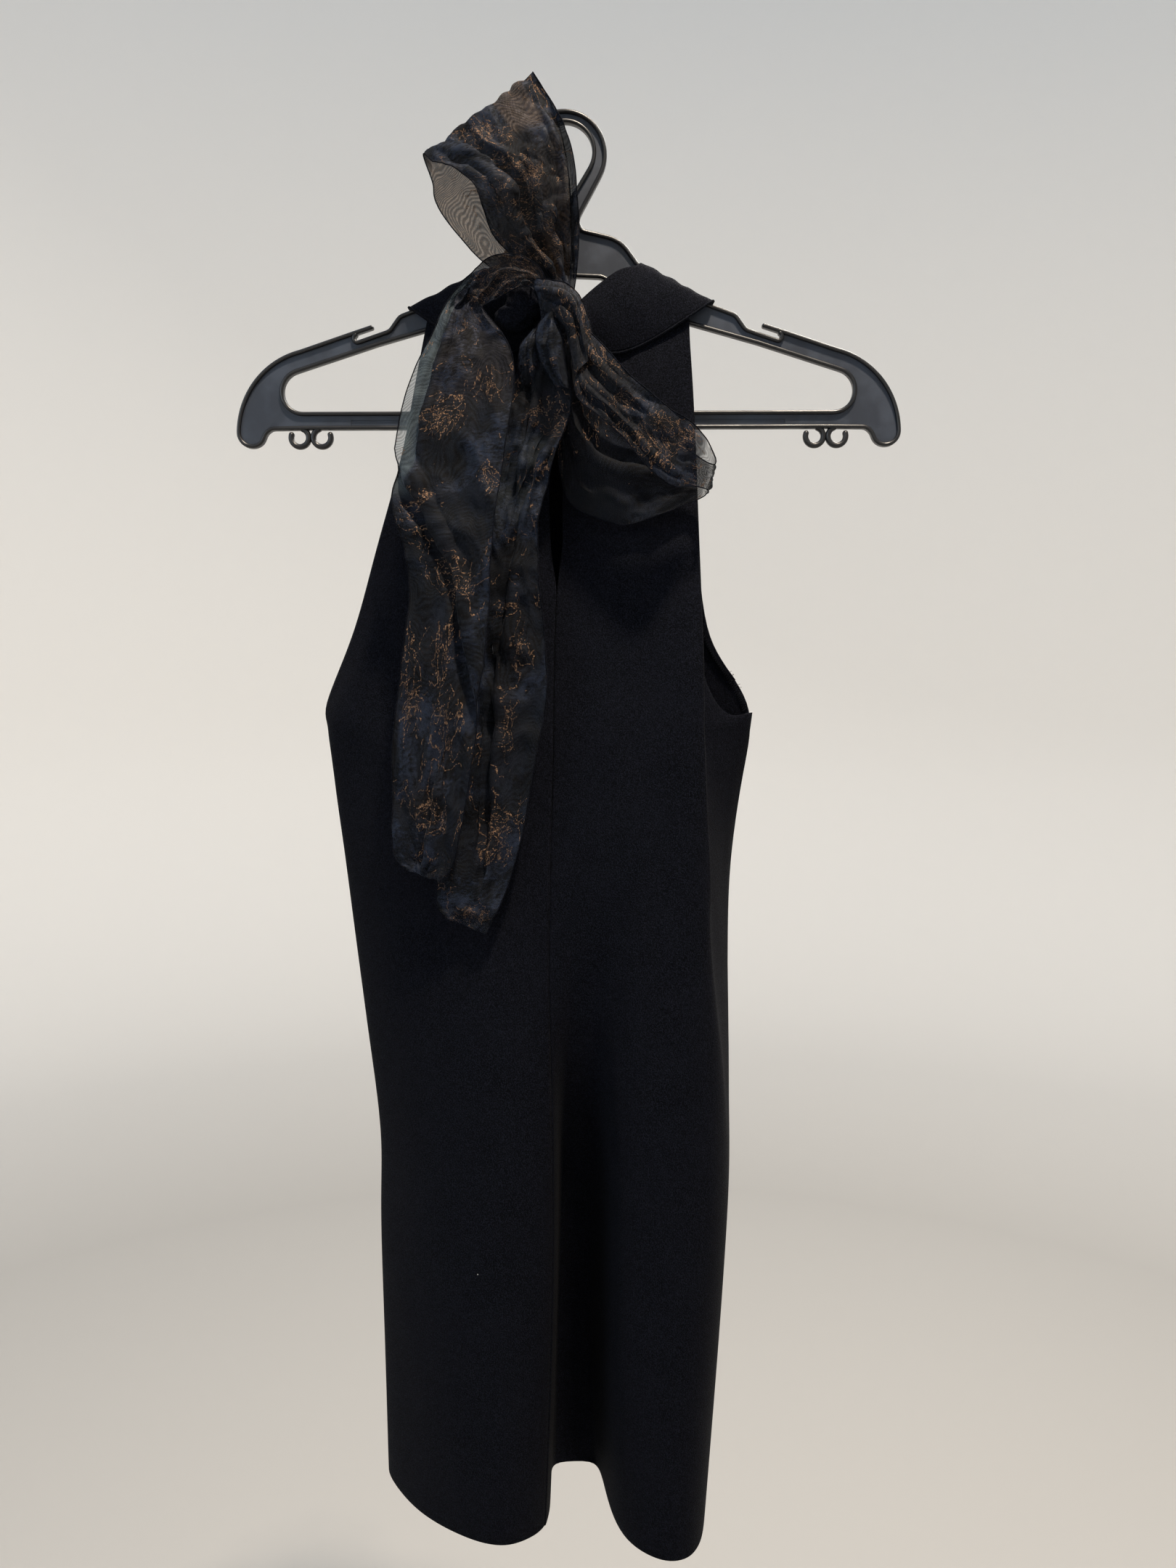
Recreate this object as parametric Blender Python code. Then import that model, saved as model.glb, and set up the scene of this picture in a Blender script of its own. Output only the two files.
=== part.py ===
"""A sleeveless crepe cocktail dress with an organza bow, hung on a moulded hanger.

The frame: origin inside the top of the hanger's hook, X to the right as the
dress is seen from the front, Y towards the wall it hangs on, Z up, in metres.
Every table below is in millimetres, from a zero that lies at TABLE_ZERO.
"""
from collections import namedtuple
from math import cos, pi, radians, sin, sqrt, tan

import bmesh
import bpy
from mathutils import Vector

MM = 0.001
TABLE_ZERO = (1.5, 0.0, 2.6)    # the tables' zero, seen from the inside top of the hook

# ---------------------------------------------------------------- sizes, in mm
CREPE_WALL = 1.5            # dress panels
COLLAR_WALL = 2.0           # two layers of crepe
ORGANZA_WALL = 1.2          # the tie, sewn as a flat tube
SEAM_GAP = 0.3              # between two panels at a seam
PLEAT_GAP = 0.35            # between a stretch of the tie and its knot

WEB_DEPTH = 2.2             # the hanger's thin plate
BEAD_WIDTH = 2.5            # its rounded rim, seen from the front
BEAD_DEPTH = 6.0            # the same rim, from front to back
CURL_WIDTH = 3.4            # the little strap hooks under the bar
CURL_DEPTH = 4.8

KNOT_CENTRE = (-3.0, -33.0, -124.0)
KNOT_RADII = (12.0, 9.5, 13.0)
KNOT_FOLD = 0.04            # depth of the creases round the knot, share of radius

KEYHOLE_TOP = -128.0        # the slit in the centre-front seam
KEYHOLE_FOOT = -277.0
KEYHOLE_HALF_WIDTH = 5.5

BACK_PLEAT_HALF_WIDTH = 5.0
ARMHOLE_HEM_TOP = -200.0    # the turned-in strip that shows inside the right armhole
ARMHOLE_HEM_FOOT = -350.0
ARMHOLE_HEM_WIDTH = 5.0
ARMHOLE_HEM_WALL = 1.0

# --------------------------------------------------------------- dress sections
# A row is one level of the dress.  Each column is a place on the cloth, as
# (x, y) at the row's z, or (x, y, z) where the edge leaves that level.
# Both tables have the same levels, and both reach the centre-front seam.
LeftRow = namedtuple("LeftRow", "z edge turn flank crown roll seam")
FRONT_LEFT = [
    LeftRow(-116, (-86, -5), (-79, -6), (-62, -7), (-42, -8), (-22, -9), (-4, -10)),
    LeftRow(-160, (-95, -6), (-87, -8), (-69, -10), (-46, -12), (-24, -13), (-4, -13)),
    LeftRow(-205, (-104, -6), (-96, -9), (-76, -13), (-51, -16), (-26, -17), (-5, -16)),
    LeftRow(-260, (-121, -4), (-112, -9), (-90, -15), (-60, -20), (-31, -21), (-6, -20)),
    LeftRow(-310, (-136, 0), (-126, -8), (-103, -17), (-70, -24), (-36, -25), (-7, -24)),
    LeftRow(-345, (-152, 6), (-141, -5), (-114, -18), (-77, -27), (-39, -28), (-8, -27)),
    LeftRow(-364, (-161, 12), (-153, 0), (-122, -17), (-81, -29), (-41, -31), (-8, -29)),
    LeftRow(-374, (-160, 14), (-155, 3), (-122, -17), (-81, -30), (-41, -32), (-8, -30)),
    LeftRow(-384, (-158, 16), (-156, 5), (-122, -17), (-82, -30), (-42, -33), (-8, -31)),
    LeftRow(-412, (-153, 20), (-155, 9), (-122, -17), (-82, -31), (-42, -35), (-9, -32)),
    LeftRow(-460, (-146, 24), (-150, 12), (-119, -18), (-80, -34), (-42, -38), (-10, -35)),
    LeftRow(-520, (-138, 27), (-144, 15), (-115, -19), (-78, -38), (-42, -43), (-11, -38)),
    LeftRow(-580, (-130, 28), (-137, 16), (-111, -20), (-76, -42), (-41, -48), (-10, -40)),
    LeftRow(-650, (-121, 29), (-129, 17), (-106, -21), (-74, -45), (-40, -53), (-9, -41)),
    LeftRow(-700, (-122, 30), (-131, 18), (-107, -22), (-74, -47), (-40, -56), (-9, -41)),
    LeftRow(-790, (-121, 30), (-130, 19), (-105, -23), (-73, -49), (-40, -57), (-11, -41)),
    LeftRow(-896, (-121, 31), (-129, 20), (-104, -21), (-71, -46), (-41, -57), (-15, -40)),
]

RightRow = namedtuple("RightRow", "z crown brow fold tuck turn edge")
FRONT_RIGHT = [
    RightRow(-116, (42, -8.5), (60, -8), (74, -7.6), (75, -6), (73, -5), (70, -4.8)),
    RightRow(-160, (46, -14), (64, -14), (77, -12), (76, -9), (73, -6.5), (70, -5)),
    RightRow(-205, (50, -19), (67, -19), (79, -17), (76, -12), (73, -8), (76, -5)),
    RightRow(-260, (52, -25), (70, -26), (81, -24), (75, -16), (72, -9), (79, -3)),
    RightRow(-310, (54, -30), (73, -33), (83, -31), (75, -22), (71, -11), (82, -1)),
    RightRow(-345, (55, -33), (74, -37), (84, -36), (75, -27), (71, -13), (88, 3)),
    RightRow(-364, (56, -36), (75, -39), (84, -37), (75, -28), (72, -14), (98, 5)),
    RightRow(-374, (56, -37), (75, -40), (84, -38), (75, -28), (76, -11), (109, 9, -368)),
    RightRow(-384, (57, -38), (76, -41), (85, -38), (76, -28), (82, -8), (121, 12, -363)),
    RightRow(-412, (58, -40), (77, -43), (86, -39), (78, -28), (89, -7), (114, 17)),
    RightRow(-460, (60, -44), (79, -46), (89, -40), (83, -28), (94, -7), (108, 19)),
    RightRow(-520, (61, -49), (81, -50), (92, -41), (88, -28), (98, -6), (107, 20)),
    RightRow(-580, (62, -55), (84, -54), (99, -40), (97, -26), (103, -3), (108, 21)),
    RightRow(-650, (64, -60), (88, -56), (102, -38), (104, -22), (107, 1), (108, 22)),
    RightRow(-700, (64, -62), (88, -58), (101, -38), (103, -21), (106, 2), (107, 23)),
    RightRow(-790, (63, -65), (84, -60), (95, -41), (98, -21), (101, 2), (102, 24)),
    RightRow(-896, (61, -68), (79, -64), (88, -43), (91, -21), (94, 5), (95, 26)),
]
FRONT_STEPS_DOWN = (2, 2, 2, 2, 2, 1, 1, 1, 1, 2, 2, 2, 2, 2, 2, 3)
LEFT_STEPS_ACROSS = (1, 3, 3, 2, 3)
RIGHT_STEPS_ACROSS = (2, 3, 1, 2, 2, 2, 2, 2, 1, 1, 3)

# The deep valley beside the seam.  Levels above the first row lie flat.
ValleyRow = namedtuple("ValleyRow", "z wall_in floor_in floor_out wall_out rise")
VALLEY = [
    ValleyRow(-520, (-3, -38), (6, -36), (17, -36), (28, -40), (39, -46)),
    ValleyRow(-580, (-6, -35), (2, -26), (16, -25), (25, -33), (36, -48)),
    ValleyRow(-650, (-7, -24), (-4, -4), (15, -3), (26, -22), (36, -50)),
    ValleyRow(-700, (-7, -16), (-6, 9), (15, 10), (26, -14), (36, -51)),
    ValleyRow(-790, (-9, -12), (-9, 20), (14, 21), (25, -8), (35, -52)),
    ValleyRow(-896, (-13, -10), (-11, 25), (17, 27), (25, -2), (36, -47)),
]

BackRow = namedtuple("BackRow", "z right left plane pleat")
BACK = [
    BackRow(-116, (72, 5.5), (-84, 5.5), 6.5, 0),
    BackRow(-160, (76, 6), (-93, 6), 8, 0),
    BackRow(-205, (79, 7), (-102, 7), 10, 0),
    BackRow(-260, (83, 9), (-119, 9), 14, 0),
    BackRow(-307, (88, 12), (-134, 12), 17, 0),
    BackRow(-326, (96, 13), (-142, 13), 19, 0),
    BackRow(-344, (110, 14), (-151, 14), 20, 1),
    BackRow(-363, (121, 14.2), (-161, 14.2), 21, 2),
    BackRow(-412, (114, 19.2), (-154, 22), 25, 4),
    BackRow(-460, (108, 21.2), (-146, 26), 28, 7),
    BackRow(-520, (107, 22.2), (-138, 29), 30, 11),
    BackRow(-580, (108, 23.2), (-130, 30), 31, 15),
    BackRow(-650, (108, 24.2), (-121, 31), 32, 21),
    BackRow(-700, (107, 25.2), (-122, 32), 33, 26),
    BackRow(-790, (102, 26.2), (-121, 32.2), 33, 33),
    BackRow(-896, (95, 28.2), (-121, 33.2), 33.5, 40),
]
BACK_PLEATS = (0.27, 0.74)      # places of the two hanging pleats, shares of the width
BACK_STEPS_DOWN = (1, 1, 1, 1, 1, 1, 1, 2, 1, 2, 2, 2, 1, 2, 2)
BACK_STEPS_ACROSS = (3, 1, 1, 1, 1, 1, 4, 1, 1, 1, 1, 1, 3)

# -------------------------------------------------------------------- the collar
# Each row is a line on the band from its neck edge down to its stitched edge.
CollarRow = namedtuple("CollarRow", "neck_x neck_y neck_z low_x low_y low_z")
COLLAR = [
    CollarRow(5, -22.4, -118, 6, -22.2, -131),
    CollarRow(19, -18, -104, 25, -15, -145),
    CollarRow(31, -13, -95, 52, -13.5, -136),
    CollarRow(42, -8, -89, 78, -10.4, -119),
    CollarRow(45, -4.6, -85.2, 89, -4.8, -110.7),
    CollarRow(45.5, 0, -84.4, 91, 0, -109.5),
    CollarRow(45, 4.6, -85.2, 89, 4.8, -110.7),
    CollarRow(42, 8, -89, 78, 8, -119),
    CollarRow(26, 12, -101, 48, 9.4, -136),
    CollarRow(-2, 13, -109, -4, 9.7, -143),
    CollarRow(-30, 12, -101, -56, 9.4, -136),
    CollarRow(-47, 8, -90, -87, 8, -120),
    CollarRow(-50, 4.6, -88.2, -97, 4.8, -113.8),
    CollarRow(-50.5, 0, -87.3, -99, 0, -112.6),
    CollarRow(-50, -4.6, -88.2, -97, -4.8, -113.8),
    CollarRow(-47, -8, -91, -86, -7.9, -122),
    CollarRow(-40, -12.5, -98, -58, -12, -138),
    CollarRow(-30, -17, -106, -33, -14.1, -144),
    CollarRow(-11, -22.4, -118, -12, -22.2, -130),
]

# ----------------------------------------------------------------------- the tie
# Each row lies across the tie: one edge, then the other, as (x, y, z).
TieRow = namedtuple("TieRow", "first second")
UPPER_LOOP = [
    TieRow((-18, -31, -99), (7, -31, -98)),
    TieRow((-34, -32, -89), (8, -32, -83)),
    TieRow((-43, -35, -80), (8, -36, -70)),
    TieRow((-48, -39, -67), (7, -39, -58)),
    TieRow((-53, -41, -54), (6, -41, -45)),
    TieRow((-64, -41, -45), (3, -42, -31)),
    TieRow((-77, -37, -39), (-5, -39, -12)),
    TieRow((-84, -31, -33), (-19, -33, 12)),
    TieRow((-80, -23, -46), (-7, -25, -5)),
    TieRow((-79, -18, -55), (1, -19, -35)),
    TieRow((-64, -17, -76), (3, -17, -65)),
    TieRow((-48, -19, -92), (3, -19, -88)),
]
RIGHT_LOOP = [
    TieRow((11, -44, -134), (8, -46, -152)),
    TieRow((21, -50, -146), (7, -52, -177)),
    TieRow((35, -56, -163), (21, -57, -190)),
    TieRow((48, -58, -175), (35, -60, -203)),
    TieRow((62, -58, -186), (49, -60, -220)),
    TieRow((75, -55, -193), (63, -57, -230)),
    TieRow((85, -49, -203), (77, -50, -229)),
    TieRow((91, -41, -215), (86, -41, -231)),
    TieRow((86, -35, -213), (80, -34, -234)),
    TieRow((71, -34, -204), (55, -33, -244)),
    TieRow((49, -34, -195), (35, -32, -249)),
    TieRow((27, -32, -185), (17, -30, -244)),
    TieRow((13, -30, -166), (3, -28, -236)),
    TieRow((8, -29, -147), (-5, -27, -205)),
]
LEFT_TAIL = [
    TieRow((-15, -40, -101), (-21, -38, -111)),
    TieRow((-30, -39, -93), (-33, -36, -113)),
    TieRow((-45, -36, -94), (-42, -33, -117)),
    TieRow((-57, -31, -102), (-50, -31, -120)),
    TieRow((-68, -28, -116), (-55, -30, -126)),
    TieRow((-77, -31, -136), (-45, -34, -139)),
    TieRow((-81, -35, -157), (-30, -42, -158)),
    TieRow((-91, -39, -187), (-32, -49, -187)),
    TieRow((-100, -41, -216), (-36, -53, -213)),
    TieRow((-103, -43, -241), (-40, -56, -239)),
    TieRow((-96, -44, -267), (-43, -58, -267)),
    TieRow((-94, -45, -294), (-45, -59, -297)),
    TieRow((-99, -46, -336), (-48, -60, -338)),
    TieRow((-105, -46, -385), (-54, -60, -384)),
    TieRow((-106, -46, -420), (-60, -60, -420)),
    TieRow((-105, -46, -450), (-68, -58, -454)),
    TieRow((-97, -48, -459), (-76, -56, -465)),
]
CENTRE_TAIL = [
    TieRow((-27, -34, -154), (3, -37, -154)),
    TieRow((-36, -35, -184), (3, -40, -184)),
    TieRow((-43, -36, -212), (-7, -43, -212)),
    TieRow((-49, -37, -247), (-16, -44, -247)),
    TieRow((-54, -38, -277), (-16, -45, -277)),
    TieRow((-58, -39, -312), (-13, -46, -312)),
    TieRow((-64, -40, -351), (-11, -47, -351)),
    TieRow((-70, -42, -390), (-18, -48, -390)),
    TieRow((-76, -45, -444), (-28, -50, -444)),
    TieRow((-79, -48, -480), (-40, -52, -480)),
    TieRow((-74, -49, -489), (-49, -52, -498)),
]
TIE_COLUMNS = 11


# -------------------------------------------------------------------- the hanger
# Centre lines of its rim, as (x, z) corners and arcs, right half first.
Arc = namedtuple("Arc", "x z radius start end steps")
HOOK_INSIDE = Arc(-1.5, -19.75, 18.4, -30, 205, 12)
HOOK_OUTSIDE = Arc(-2.0, -21.2, 25.4, 205, -30, 14)
STEM_RIGHT = [(13.4, -45.9), (9.3, -53.1), (6.8, -58.0), (6.4, -62.0)]
STEM_LEFT = [(-7.0, -63.2), (-4.2, -58.0), (7.2, -40.6)]
ARM_TOP = [(8.9, -66.6), (18.2, -68.7), (27.6, -71.0), (33.0, -73.9), (36.6, -77.5),
           (43.7, -87.1), (87.5, -111.2), (104.5, -117.4), (111.0, -126.2)]
SLOT_END = Arc(131.2, -130.3, 2.6, -100, 60, 5)
FINGER_TIP = (123.3, -124.0)
SHOULDER_START = (137.0, -128.4)
SHOULDER = Arc(155.4, -189.3, 52.3, 77, 5, 7)
DROP_TIP = Arc(199.4, -188.0, 8.3, 0, -145, 6)
BAR_BOTTOM = [(190.7, -188.2), (187.0, -185.3), (164.0, -185.0)]
WINDOW_TOP = [(0.0, -92.8), (21.5, -93.8), (75.5, -121.7), (118.5, -133.7)]
WINDOW_END = Arc(166.5, -163.0, 13.4, 74, -90, 8)
CURL_INNER = Arc(155.2, -190.9, 5.6, 160, 432, 9)
CURL_OUTER = Arc(169.2, -190.9, 5.6, 20, -252, 9)


# ------------------------------------------------------------------ scene helpers
def clear_scene():
    for thing in list(bpy.data.objects):
        bpy.data.objects.remove(thing, do_unlink=True)


def make_material(name, colour, roughness, metallic=0.0):
    material = bpy.data.materials.new(name)
    material.use_nodes = True
    shader = material.node_tree.nodes["Principled BSDF"]
    shader.inputs["Base Color"].default_value = (*colour, 1.0)
    shader.inputs["Roughness"].default_value = roughness
    shader.inputs["Metallic"].default_value = metallic
    return material


def link_mesh(name, bm, material):
    """Put a finished bmesh into the scene as one smooth-shaded object."""
    mesh = bpy.data.meshes.new(name)
    bm.to_mesh(mesh)
    bm.free()
    mesh.materials.append(material)
    mesh.shade_smooth()
    thing = bpy.data.objects.new(name, mesh)
    thing.location = point(*TABLE_ZERO)
    bpy.context.scene.collection.objects.link(thing)
    return thing


def point(x, y, z):
    return Vector((x, y, z)) * MM


# ------------------------------------------------------------------ curve helpers
def refine(points, counts):
    """A smooth line through the points, with counts[i] steps in its i-th gap."""
    knots = [0.0]
    for here, there in zip(points, points[1:]):
        knots.append(knots[-1] + sqrt((there - here).length) + 1e-6)

    def slope(i):
        before, after = max(i - 1, 0), min(i + 1, len(points) - 1)
        if before == i or after == i:
            return (points[after] - points[before]) / (knots[after] - knots[before])
        left = (points[i] - points[before]) / (knots[i] - knots[before])
        right = (points[after] - points[i]) / (knots[after] - knots[i])
        share = (knots[i] - knots[before]) / (knots[after] - knots[before])
        return left * (1.0 - share) + right * share

    line = [points[0]]
    for i, count in enumerate(counts):
        gap = knots[i + 1] - knots[i]
        start_slope, end_slope = slope(i) * gap, slope(i + 1) * gap
        for step in range(1, count + 1):
            t = step / count
            line.append(points[i] * (1 - 3 * t * t + 2 * t ** 3)
                        + start_slope * (t - 2 * t * t + t ** 3)
                        + points[i + 1] * (3 * t * t - 2 * t ** 3)
                        + end_slope * (t ** 3 - t * t))
    return line


def refine_net(net, across, down):
    """Refine a net of control points along its rows, then down its columns."""
    rows = [refine(row, across) for row in net]
    columns = [refine(list(column), down) for column in zip(*rows)]
    return [list(row) for row in zip(*columns)]


def cloth_sheet(name, surface, wall, material):
    """One panel: a grid laid on the surface's points, thickened both ways."""
    rows, columns = len(surface), len(surface[0])
    bm = bmesh.new()
    bmesh.ops.create_grid(bm, x_segments=columns - 1, y_segments=rows - 1, size=1.0)
    for vertex in bm.verts:
        column = round((vertex.co.x + 1.0) / 2.0 * (columns - 1))
        row = round((vertex.co.y + 1.0) / 2.0 * (rows - 1))
        vertex.co = surface[row][column]
    panel = link_mesh(name, bm, material)
    thicken = panel.modifiers.new("Wall", "SOLIDIFY")
    thicken.thickness = wall * MM
    thicken.offset = 0.0
    thicken.use_even_offset = True
    thicken.use_quality_normals = True
    return panel


# -------------------------------------------------------------------- dress panels
def place(row, name):
    """A named place of a section row as a point in space."""
    spot = getattr(row, name)
    z = spot[2] if len(spot) > 2 else row.z
    return point(spot[0], spot[1], z)


def keyhole_half_width(z):
    """Half the width of the slit at a height, in millimetres."""
    if not KEYHOLE_FOOT < z < KEYHOLE_TOP:
        return 0.0
    rise = (z - KEYHOLE_FOOT) / (KEYHOLE_TOP - KEYHOLE_FOOT)
    return KEYHOLE_HALF_WIDTH * sin(pi * rise ** 0.6)


def valley_points(left_row, right_row):
    """The places between seam and crown: flat high up, a deep valley below."""
    for valley in VALLEY:
        if valley.z == left_row.z:
            return [place(valley, name) for name in valley._fields[1:]]
    seam, crown = place(left_row, "seam"), place(right_row, "crown")
    return [seam.lerp(crown, step / 6.0) for step in range(1, 6)]


def front_surfaces():
    """Both halves of the front, cut from one smooth surface at the seam."""
    net = []
    for left_row, right_row in zip(FRONT_LEFT, FRONT_RIGHT):
        left = [place(left_row, name) for name in left_row._fields[1:]]
        right = [place(right_row, name) for name in right_row._fields[1:]]
        net.append(left + valley_points(left_row, right_row) + right)
    whole = refine_net(net, LEFT_STEPS_ACROSS + RIGHT_STEPS_ACROSS, FRONT_STEPS_DOWN)

    seam = sum(LEFT_STEPS_ACROSS)
    left_half, right_half = [], []
    for row in whole:
        arriving = (row[seam] - row[seam - 1]).normalized()
        leaving = (row[seam + 1] - row[seam]).normalized()
        # The walls' edges are mitred where the cloth turns at the seam.
        mitre = (SEAM_GAP + CREPE_WALL * tan(arriving.angle(leaving) / 2)) / 2 * MM
        slit = Vector((keyhole_half_width(row[seam].z / MM) * MM, 0.0, 0.0))
        left_half.append(row[:seam] + [row[seam] - arriving * mitre - slit])
        right_half.append([row[seam] + leaving * mitre + slit] + row[seam + 1:])
    return left_half, right_half


def back_net():
    """The back hangs flat on the wall, with two pleats of spare cloth inside."""
    net = []
    for row in BACK:
        right, left = place(row, "right"), place(row, "left")
        line = [right]
        for share in sorted(1.0 - p for p in BACK_PLEATS):
            middle = right.lerp(left, share)
            for side, depth in ((1.6, 0), (1, 0.1), (0.45, 0.9), (-0.45, 0.9), (-1, 0.1), (-1.6, 0)):
                x = middle.x / MM + side * BACK_PLEAT_HALF_WIDTH
                line.append(point(x, row.plane - row.pleat * depth, row.z))
        line.append(left)
        net.append(line)
    return net


def back_surface():
    return refine_net(back_net(), BACK_STEPS_ACROSS, BACK_STEPS_DOWN)


def armhole_hem_surface(back):
    """A turned-in strip along the right armhole, on the inside of the back."""
    inset = Vector((0.0, -((CREPE_WALL + ARMHOLE_HEM_WALL) / 2 + 2 * SEAM_GAP) * MM, 0.0))
    strip = []
    for row in back:
        if ARMHOLE_HEM_FOOT < row[0].z / MM < ARMHOLE_HEM_TOP:
            across = (row[1] - row[0]).normalized() * ARMHOLE_HEM_WIDTH * MM
            start = row[0] + inset + across * 0.1
            strip.append([start, start + across / 2, start + across])
    return strip


# -------------------------------------------------------------------------- collar
def collar_surface():
    """The band round the neck, rolled outwards a little between its two edges."""
    net = []
    for row in COLLAR:
        neck = point(row.neck_x, row.neck_y, row.neck_z)
        low = point(row.low_x, row.low_y, row.low_z)
        facing = -1.0 if row.neck_y < 0 else 1.0
        swell = min(abs(row.neck_y) / 10.0, 1.0) * 2.5 * MM
        line = [neck]
        for share in (0.3, 0.65):
            line.append(neck.lerp(low, share) + Vector((0.0, facing * swell, 0.0)))
        line.append(low)
        net.append(line)
    return refine_net(net, (2, 2, 2), (2,) * (len(net) - 1))


# ----------------------------------------------------------------------- the tie
def knot_seat(angle, y):
    """A point just off the knot, at an angle round it seen from the front."""
    radii = [r + ORGANZA_WALL / 2 + PLEAT_GAP for r in KNOT_RADII]
    shrink = sqrt(1.0 - ((y - KNOT_CENTRE[1]) / radii[1]) ** 2)
    return point(KNOT_CENTRE[0] + radii[0] * shrink * cos(radians(angle)), y,
                 KNOT_CENTRE[2] + radii[2] * shrink * sin(radians(angle)))


def seat_row(first_angle, second_angle, y):
    """A row gathered round the knot, from one angle to another."""
    steps = TIE_COLUMNS - 1
    return [knot_seat(first_angle + (second_angle - first_angle) * i / steps, y)
            for i in range(TIE_COLUMNS)]


def tie_surface(rows, start, end, pleats, depth, down):
    """A stretch of the tie, with soft pleats that fade out at its gathered ends."""
    net = [start] if start else []
    for row in rows:
        first, second = point(*row.first), point(*row.second)
        net.append([first.lerp(second, i / (TIE_COLUMNS - 1)) for i in range(TIE_COLUMNS)])
    if end:
        net.append(end)
    surface = refine_net(net, (1,) * (TIE_COLUMNS - 1), (down,) * (len(net) - 1))
    last = len(surface) - 1
    pleated = []
    for r, row in enumerate(surface):
        along = surface[min(r + 1, last)][TIE_COLUMNS // 2] - surface[max(r - 1, 0)][TIE_COLUMNS // 2]
        normal = along.cross(row[-1] - row[0]).normalized()
        from_start = min(r / 5.0, 1.0) if start else 1.0
        from_end = min((last - r) / 5.0, 1.0) if end else 1.0
        drift = 1.1 * sin(r * 0.33)
        line = []
        for i, spot in enumerate(row):
            share = i / (TIE_COLUMNS - 1)
            wave = sin(2 * pi * pleats * share + drift) * sin(pi * share) ** 0.5
            line.append(spot + normal * wave * depth * from_start * from_end * MM)
        pleated.append(line)
    return pleated


def make_knot(material):
    """The knot: a rounded lump with creases wrapped slantwise round it."""
    bm = bmesh.new()
    bmesh.ops.create_uvsphere(bm, u_segments=20, v_segments=11, radius=1.0)
    for vertex in bm.verts:
        x, y, z = vertex.co
        crease = 1.0 - KNOT_FOLD * (1.0 + cos(9.0 * z + 4.0 * x)) * (1.0 - abs(z))
        vertex.co = Vector((KNOT_CENTRE[0] + KNOT_RADII[0] * x * crease,
                            KNOT_CENTRE[1] + KNOT_RADII[1] * y * crease,
                            KNOT_CENTRE[2] + KNOT_RADII[2] * z * crease)) * MM
    return link_mesh("scarf_knot", bm, material)


# ---------------------------------------------------------------------- the hanger
def walk(arc):
    """Points along an arc in the hanger's plane, its angles in degrees."""
    angles = [radians(arc.start + (arc.end - arc.start) * i / arc.steps)
              for i in range(arc.steps + 1)]
    return [(arc.x + arc.radius * cos(a), arc.z + arc.radius * sin(a)) for a in angles]


def mirrored(path):
    return [(-x, z) for x, z in reversed(path)]


def hanger_paths():
    """Centre lines of the rim: the lower line, the upper line and the window."""
    lower_half = [SHOULDER_START] + walk(SHOULDER) + walk(DROP_TIP) + BAR_BOTTOM
    lower = lower_half + mirrored(lower_half)
    arm = ARM_TOP + walk(SLOT_END)
    hook = STEM_LEFT + walk(HOOK_INSIDE) + walk(HOOK_OUTSIDE) + STEM_RIGHT
    upper = mirrored(arm) + hook + arm
    window_half = WINDOW_TOP + walk(WINDOW_END)
    window = window_half + mirrored(window_half)[:-1]
    return lower, upper, window


def bead(name, path, closed, width, depth, material):
    """A rounded rim along a path, deeper from front to back than it is wide."""
    curve = bpy.data.curves.new(name, "CURVE")
    curve.dimensions = "3D"
    curve.bevel_depth = width / 2 * MM
    curve.bevel_resolution = 1
    curve.use_fill_caps = True
    spline = curve.splines.new("POLY")
    spline.points.add(len(path) - 1)
    spline.use_cyclic_u = closed
    for spot, (x, z) in zip(spline.points, path):
        spot.co = (x * MM, 0.0, z * MM, 1.0)
    guide = bpy.data.objects.new(name, curve)
    mesh = bpy.data.meshes.new_from_object(guide)
    bpy.data.objects.remove(guide)
    bm = bmesh.new()
    bm.from_mesh(mesh)
    bmesh.ops.remove_doubles(bm, verts=bm.verts, dist=0.02 * MM)
    bmesh.ops.scale(bm, vec=(1.0, depth / width, 1.0), verts=bm.verts)
    bmesh.ops.recalc_face_normals(bm, faces=bm.faces)
    return link_mesh(name, bm, material)


def web_plate(outline, window, material):
    """The hanger's thin plate, filled between its outline and its window."""
    curve = bpy.data.curves.new("web", "CURVE")
    curve.dimensions = "2D"
    curve.fill_mode = "BOTH"
    curve.extrude = WEB_DEPTH / 2 * MM
    for path in (outline, window):
        spline = curve.splines.new("POLY")
        spline.points.add(len(path) - 1)
        spline.use_cyclic_u = True
        for spot, (x, z) in zip(spline.points, path):
            spot.co = (x * MM, z * MM, 0.0, 1.0)
    guide = bpy.data.objects.new("web", curve)
    mesh = bpy.data.meshes.new_from_object(guide)
    bpy.data.objects.remove(guide)
    bm = bmesh.new()
    bm.from_mesh(mesh)
    bmesh.ops.remove_doubles(bm, verts=bm.verts, dist=0.02 * MM)
    for vertex in bm.verts:
        vertex.co = Vector((vertex.co.x, vertex.co.z, vertex.co.y))
    bmesh.ops.recalc_face_normals(bm, faces=bm.faces)
    return link_mesh("hanger", bm, material)


def unite(body, tool):
    """Join a tool into the body, and keep the tool only as a hidden guide."""
    join = body.modifiers.new("Join " + tool.name, "BOOLEAN")
    join.operation = "UNION"
    join.solver = "EXACT"
    join.object = tool
    tool.hide_render = True
    tool.display_type = "WIRE"


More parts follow.
